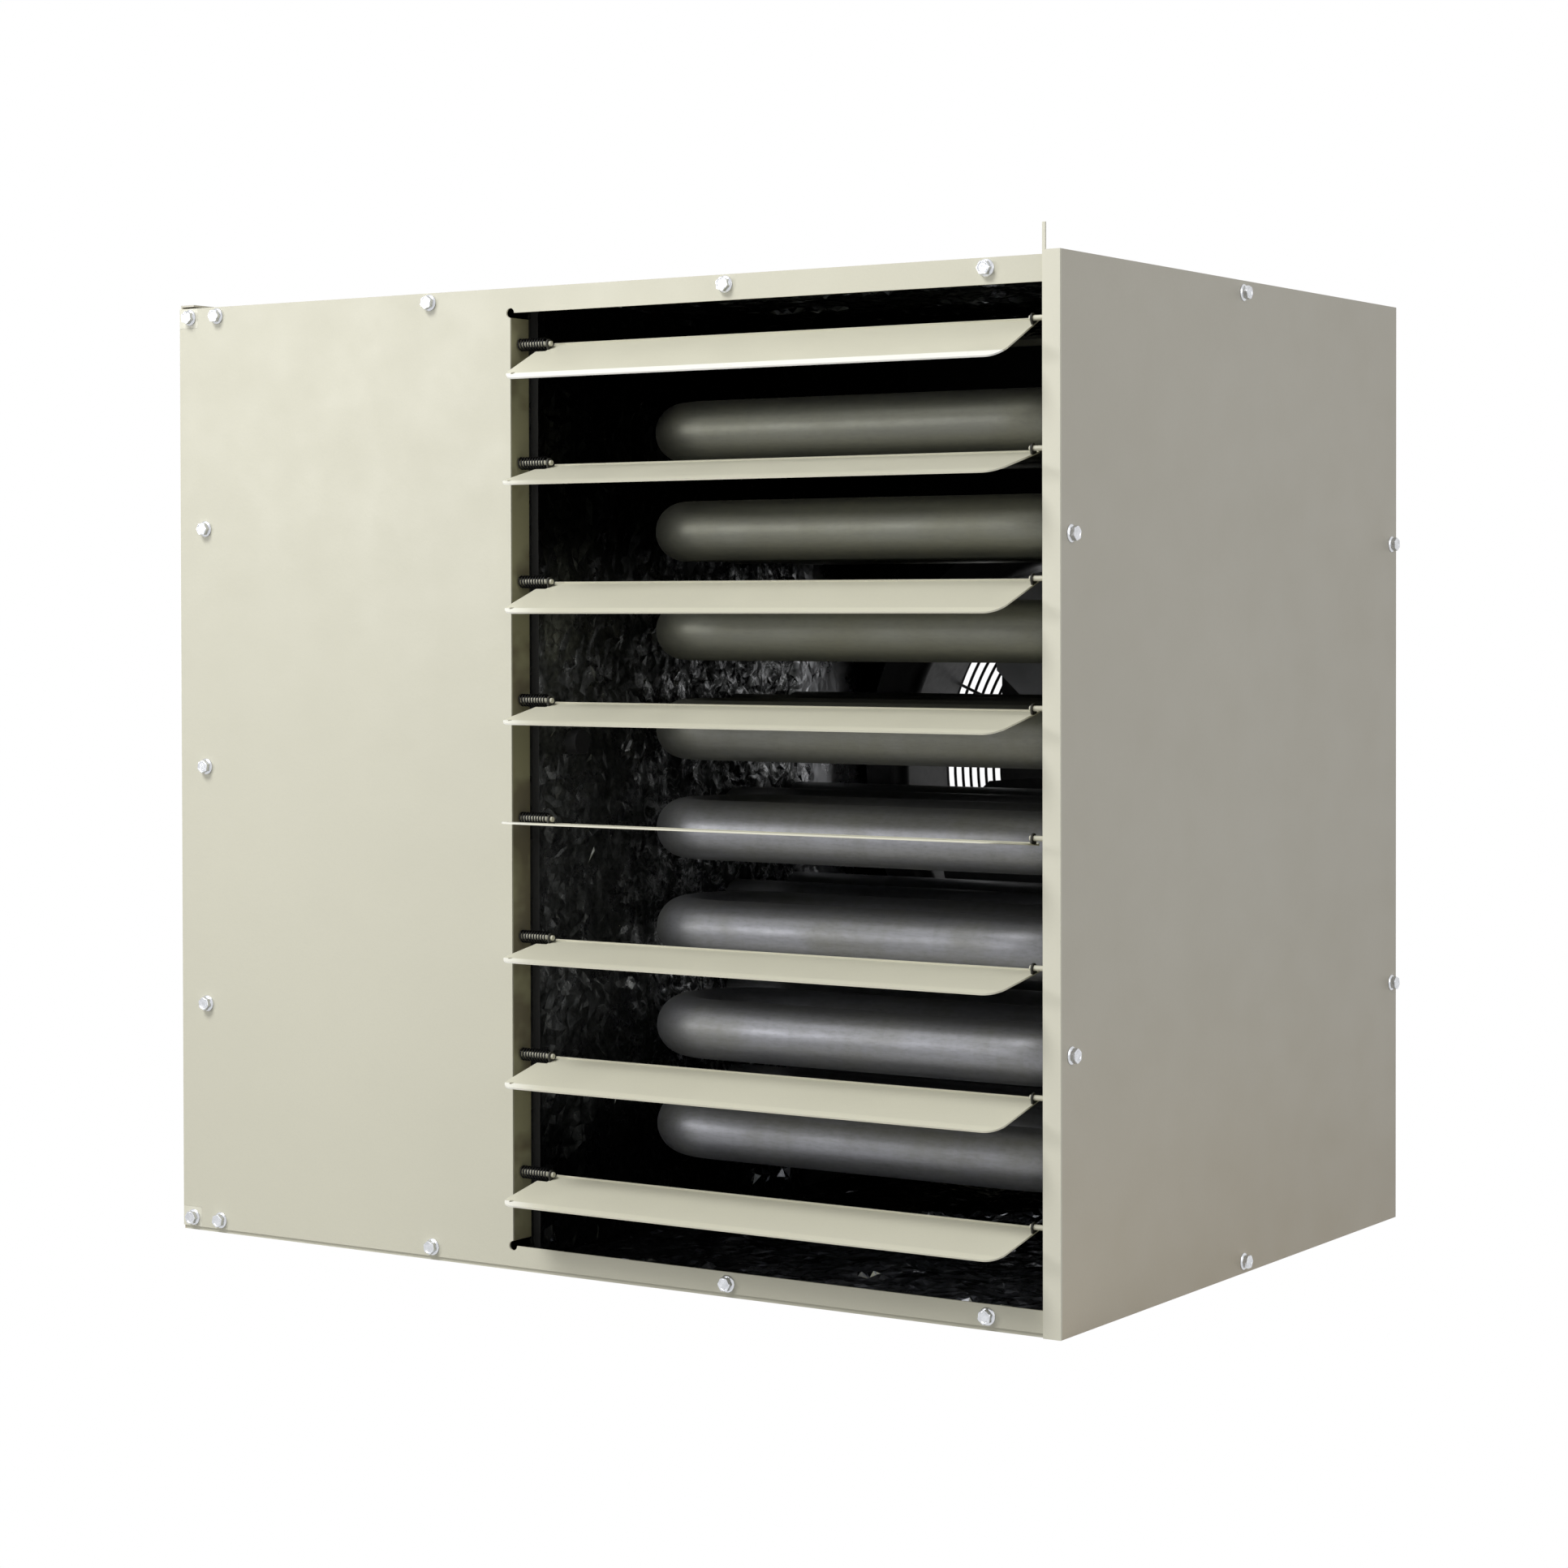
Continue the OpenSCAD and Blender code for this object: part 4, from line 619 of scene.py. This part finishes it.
def heat_tubes():
    """Each tube leaves the partition in the third row, returns in the second and the front row, and goes back
    along the right side to the rear row and the partition."""
    row = [ROW_FRONT + ROW_PITCH * k for k in range(4)]
    r = ROW_PITCH / 2
    left_c, inner_c, outer_c = BEND_LEFT + TUBE_R + r, BEND_INNER - TUBE_R - r, BEND_RIGHT - TUBE_R - r
    for k in range(8):
        z = TUBE_TOP - TUBE_PITCH * k
        pts, tans = [], []

        def line(x0, y0, x1, y1, n):
            d = Vector((x1 - x0, y1 - y0, 0))
            for i in range(n):
                f = i / n
                pts.append(at(x0 + d.x * f, y0 + d.y * f, z))
                tans.append(d)

        def arc(cx, cy, a0, turn, n=20):
            for i in range(n + 1):
                a = math.radians(a0 + turn * i / n)
                s = 1 if turn > 0 else -1
                pts.append(at(cx + r * math.cos(a), cy + r * math.sin(a), z))
                tans.append(Vector((-math.sin(a) * s, math.cos(a) * s, 0)))

        line(PARTITION_X, row[2], inner_c, row[2], 24)
        arc(inner_c, row[1] + r, 90, -180)
        line(inner_c - 2, row[1], left_c + 2, row[1], 20)
        arc(left_c, row[0] + r, 90, 180)
        line(left_c + 2, row[0], outer_c - 2, row[0], 24)
        arc(outer_c, row[0] + r, -90, 90, 10)
        line(outer_c + r, row[0] + r + 2, outer_c + r, row[3] - r - 2, 10)
        arc(outer_c, row[3] - r, 0, 90, 10)
        line(outer_c - 2, row[3], PARTITION_X, row[3], 24)
        pts.append(at(PARTITION_X, row[3], z))
        tans.append(Vector((-1, 0, 0)))
        bm = bmesh.new()
        sweep(bm, pts, tans, TUBE_R * MM, 56, Vector((0, 0, 1)), inner=TUBE_BORE_R * MM)
        o = new_object("exchanger_tube_%d" % (k + 1), bm, TUBE, "cabinet", ("heat_tube_%d" % (k + 1),))
        sharp_by_angle(o, 50)


# Places of the screws: X and Z on the front, Y and Z on the sides
SHEET = 1.2
FRONT_SCREWS = [(x, z) for x in (9, 33, 213, 439.5, 619.5) for z in (8.5, 609.5)]
FRONT_SCREWS += [(22, 152.5), (22, 310.5), (22, 468.5)]
SIDE_SCREWS = [(238, 7.5), (238, 610.5), (468, 160.5), (468, 457.5)]
RIGHT_SCREWS = SIDE_SCREWS + [(13, 160.5), (13, 457.5)]


def hex_radius(a, half):
    """Radius of a hexagon of half width half, in the direction a."""
    a = math.degrees(a) % 60 - 30
    return half / math.cos(math.radians(a))


def screw(bm, base, axis, turn):
    """Hex washer head screw: flared washer, chamfered hex with a dished top, threaded shank."""
    n = 48
    tip, thread_top, thread_pitch, root_r, crest_r = -9, -0.5, 0.7, 1.65, 2.1
    rot = axis.to_track_quat("Z", "Y").to_matrix()

    def loop(z, shape, size):
        vs = []
        for k in range(n):
            a = 2 * math.pi * k / n
            rr = size if shape == "c" else min(hex_radius(a, size), size * 1.12)
            p = Vector((rr * math.cos(a + turn), rr * math.sin(a + turn), z)) * MM
            vs.append(bm.verts.new(base + rot @ p))
        return vs

    loops = [loop(tip, "c", 0.3), loop(tip + 0.8, "c", 1.5)]
    z = tip + 1.0
    while z < thread_top:
        loops += [loop(z, "c", root_r), loop(z + thread_pitch / 2, "c", crest_r)]
        z += thread_pitch
    loops += [loop(-0.1, "c", 2.05), loop(0.0, "c", 5.1), loop(0.12, "c", 5.25), loop(0.5, "c", 5.25),
              loop(0.8, "c", 5.0), loop(1.1, "c", 4.55), loop(1.3, "h", 3.95), loop(4.15, "h", 3.95),
              loop(4.5, "h", 3.72), loop(4.6, "c", 3.35), loop(4.5, "c", 3.05), loop(4.2, "c", 2.7)]
    for a, b in zip(loops, loops[1:]):
        for k in range(n):
            m = (k + 1) % n
            bm.faces.new((a[k], a[m], b[m], b[k]))
    bm.faces.new(loops[0])
    bm.faces.new(loops[-1])


def screws():
    bm = bmesh.new()
    for i, (x, z) in enumerate(FRONT_SCREWS):
        screw(bm, at(x, SHEET, z), Vector((0, -1, 0)), 0.7 * i)
    o = new_object("front_screw_heads", bm, ZINC, "cabinet", ("front_screws",))
    sharp_by_angle(o, 32)
    bm = bmesh.new()
    for i, (y, z) in enumerate(RIGHT_SCREWS):
        screw(bm, at(668, y, z), Vector((1, 0, 0)), 0.9 * i)
    for i, (y, z) in enumerate(SIDE_SCREWS):
        screw(bm, at(0, y, z), Vector((-1, 0, 0)), 0.5 * i)
    o = new_object("side_screw_heads", bm, ZINC, "cabinet", ("side_screws",))
    sharp_by_angle(o, 32)


# Degrees that each blade's front hangs down at rest
TILTS = [26, 13.5, 20, 12, -5, 9.5, 14, 12]
OPEN_LEFT, OPEN_RIGHT = 277.5, 656.5
BLADE_X0, BLADE_X1 = OPEN_LEFT + 15, OPEN_RIGHT - 11.2


def louver(k):
    """Pressed blade: a front band bent down, a folded rear lip, rounded front corners, a notch for the spring
    and two ears with pin holes."""
    w = BLADE_X1 - BLADE_X0
    t, low = 1.0, -4.0
    front, rear, corner, band = 45.6, 6.4, 10.0, 6.0
    notch_x, notch_y = 7.7, -4.7
    hole_in, hole_r, hole_sides = 6, 1.5, 20
    ear_r, pin_hole_r, ear_sides = 2.9, 1.65, 32
    lip, slope, wave_h = 1.8, 0.088, 0.05
    bm = bmesh.new()

    def ring(pts):
        vs = [bm.verts.new((x, y, 0)) for x, y in pts]
        return [bm.edges.new((vs[i], vs[(i + 1) % len(vs)])) for i in range(len(vs))]

    line = [(notch_x, rear), (notch_x, notch_y), (0, notch_y)]
    for cx, a0 in ((corner, 180), (w - corner, 270)):
        for i in range(13):
            a = math.radians(a0 + 90 * i / 12)
            line.append((cx + corner * math.cos(a), -front + corner + corner * math.sin(a)))
    line.append((w, rear))
    edges = ring(line)
    turns = [2 * math.pi * i / hole_sides for i in range(hole_sides)]
    edges += ring([(hole_in + hole_r * math.cos(a), -front + hole_in + hole_r * math.sin(a)) for a in turns])
    bmesh.ops.triangle_fill(bm, use_beauty=True, edges=edges)
    cuts = [((0, -front + v, 0), (0, 1, 0)) for v in (0.5, 1.2, band - 0.5, band, band + 0.5, 14, 24, 36)]
    cuts += [((x, 0, 0), (1, 0, 0)) for x in (20, 40, 60, 90, 120, 160, 200, 240, 280, 310, 330)]
    for co, no in cuts:
        geom = bm.verts[:] + bm.edges[:] + bm.faces[:]
        bmesh.ops.bisect_plane(bm, geom=geom, plane_co=co, plane_no=no)
    rim = [e for e in bm.edges if len(e.link_faces) == 1]
    flat = bm.faces[:]
    above = {v: bm.verts.new(v.co + Vector((0, 0, t))) for v in bm.verts[:]}
    for f in flat:
        bm.faces.new([above[v] for v in f.verts])
    for e in rim:
        a, b = e.verts
        bm.faces.new((a, b, above[b], above[a]))
    for v in bm.verts:
        y = v.co.y
        d = max(0.0, -y - (front - band))
        wave = wave_h * math.sin(v.co.x * 0.031 + k * 1.7) * min(1.0, (y + front) / 20)
        v.co.z += low - slope * d + wave
    # the front band takes slot 1, a painted highlight
    for f in bm.faces:
        if f.calc_center_median().y < -front + band:
            f.material_index = 1

    def prism(pts, x, length, slot=0):
        a = [bm.verts.new((x, *q)) for q in pts]
        b = [bm.verts.new((x + length, *q)) for q in pts]
        made = [bm.faces.new(a), bm.faces.new(list(reversed(b)))]
        for i in range(len(a)):
            j = (i + 1) % len(a)
            made.append(bm.faces.new((a[i], a[j], b[j], b[i])))
        for f in made:
            f.material_index = slot

    # rear lip with a rolled top, then the front edge's hem, in the painted highlight coat
    prism([(rear - t, low + t * 0.9), (rear, low + t * 0.9), (rear, low + lip - 0.2), (rear - 0.3, low + lip),
           (rear - t + 0.3, low + lip), (rear - t, low + lip - 0.2)], notch_x, w - notch_x)
    prism([(-front + 0.02, low - 0.2), (-front + 0.02, low - 0.5), (-front + 0.3, low - 0.6),
           (-front + 0.9, low - 0.6), (-front + 1.0, low - 0.2)], 20, w - 40, 1)

    def ear_edge(a):
        c, s_ = math.cos(a), math.sin(a)
        if s_ >= 0:
            return (ear_r * c, ear_r * s_)
        kk = min(ear_r / max(1e-6, abs(c)), (low + 0.5) / s_)
        return (kk * c, kk * s_)

    m = ear_sides
    for x in (notch_x, w - t):
        loops = []
        for side in (0, 1):
            o_v = [bm.verts.new((x + side * t, *ear_edge(2 * math.pi * i / m))) for i in range(m)]
            i_v = [bm.verts.new((x + side * t, pin_hole_r * math.cos(2 * math.pi * i / m),
                                 pin_hole_r * math.sin(2 * math.pi * i / m))) for i in range(m)]
            loops.append((o_v, i_v))
        for i in range(m):
            j = (i + 1) % m
            for o_v, i_v in loops:
                bm.faces.new((o_v[i], o_v[j], i_v[j], i_v[i])).material_index = 2
            for n in (0, 1):
                a_v, b_v = loops[0][n], loops[1][n]
                bm.faces.new((a_v[i], a_v[j], b_v[j], b_v[i])).material_index = 2
    rot = Matrix.Rotation(math.radians(TILTS[k]), 3, "X")
    base = at(BLADE_X0, PIVOT_Y, PIVOTS[k])
    for v in bm.verts:
        v.co = base + rot @ (v.co * MM)
    name = "louver_%d" % (k + 1)
    # slot 1, the front band and hem: painted highlight, near white on the upper blade and pale towards the
    # left end on the rest; slot 2, the ears: painted shade
    o = new_object("blade_%d" % (k + 1), bm, BLADE_LIT, name + "_blade", (name,),
                   more=(PAINTED_HIGHLIGHT if k == 0 else EDGE, SHADED))
    sharp_by_angle(o, 28)


for k in range(LOUVERS):
    louver(k)
louver_springs()
heat_tubes()
screws()

# Stage
floor_m = bpy.data.materials.new("floor")
floor_m.use_nodes = True
nt = floor_m.node_tree
nt.nodes.clear()
out = nt.nodes.new("ShaderNodeOutputMaterial")
diff = nt.nodes.new("ShaderNodeBsdfDiffuse")
diff.inputs["Color"].default_value = (0.4, 0.4, 0.4, 1)
white = nt.nodes.new("ShaderNodeEmission")
white.inputs["Strength"].default_value = 1.0
path = nt.nodes.new("ShaderNodeLightPath")
seen = add_math(nt, "MAXIMUM", path.outputs["Is Camera Ray"],
                add_math(nt, "MAXIMUM", path.outputs["Is Glossy Ray"], path.outputs["Is Transmission Ray"]))
pick = nt.nodes.new("ShaderNodeMixShader")
nt.links.new(seen, pick.inputs[0])
nt.links.new(diff.outputs[0], pick.inputs[1])
nt.links.new(white.outputs[0], pick.inputs[2])
nt.links.new(pick.outputs[0], out.inputs[0])

me = bpy.data.meshes.new("floor")
s = 30
me.from_pydata([(-s, -s, 0), (s, -s, 0), (s, s, 0), (-s, s, 0)], [], [(0, 1, 2, 3)])
floor = bpy.data.objects.new("floor", me)
floor.location.z = -0.0005
me.materials.append(floor_m)
scene.collection.objects.link(floor)

world = bpy.data.worlds.new("studio")
scene.world = world
world.use_nodes = True
wt = world.node_tree
wt.nodes.clear()
wo = wt.nodes.new("ShaderNodeOutputWorld")
soft = wt.nodes.new("ShaderNodeBackground")
soft.inputs["Color"].default_value = (1.0, 0.985, 0.97, 1)
soft.inputs["Strength"].default_value = 0.3
bright = wt.nodes.new("ShaderNodeBackground")
bright.inputs["Color"].default_value = (1, 1, 1, 1)
bright.inputs["Strength"].default_value = 1.0
wp = wt.nodes.new("ShaderNodeLightPath")
sel = add_math(wt, "MAXIMUM", wp.outputs["Is Camera Ray"],
               add_math(wt, "MAXIMUM", wp.outputs["Is Glossy Ray"], wp.outputs["Is Transmission Ray"]))
wm = wt.nodes.new("ShaderNodeMixShader")
wt.links.new(sel, wm.inputs[0])
wt.links.new(soft.outputs[0], wm.inputs[1])
wt.links.new(bright.outputs[0], wm.inputs[2])
wt.links.new(wm.outputs[0], wo.inputs[0])


def area(name, loc, aim, size, power, color=(1, 1, 1)):
    d = bpy.data.lights.new(name, "AREA")
    d.shape = "RECTANGLE"
    d.size, d.size_y = size
    d.energy = power
    d.color = color
    o = bpy.data.objects.new(name, d)
    o.location = loc
    o.rotation_euler = (Vector(aim) - Vector(loc)).to_track_quat("-Z", "Y").to_euler()
    scene.collection.objects.link(o)
    return o


# The lamps: place, what it is turned to, its two sizes in metres and its watts
area("key", (-0.68, -2.05, 2.53), (0.1, -0.2, 0.3), (1.2, 1.0), 66)
area("low_front", (-1.59, -2.15, 0.71), (0.1, -0.2, 0.3), (0.6, 0.4), 11)
area("side_soft", (2.6, -0.6, 1.2), (0.3, 0, 0.3), (1.4, 1.6), 13)

scene.view_settings.view_transform = "Standard"
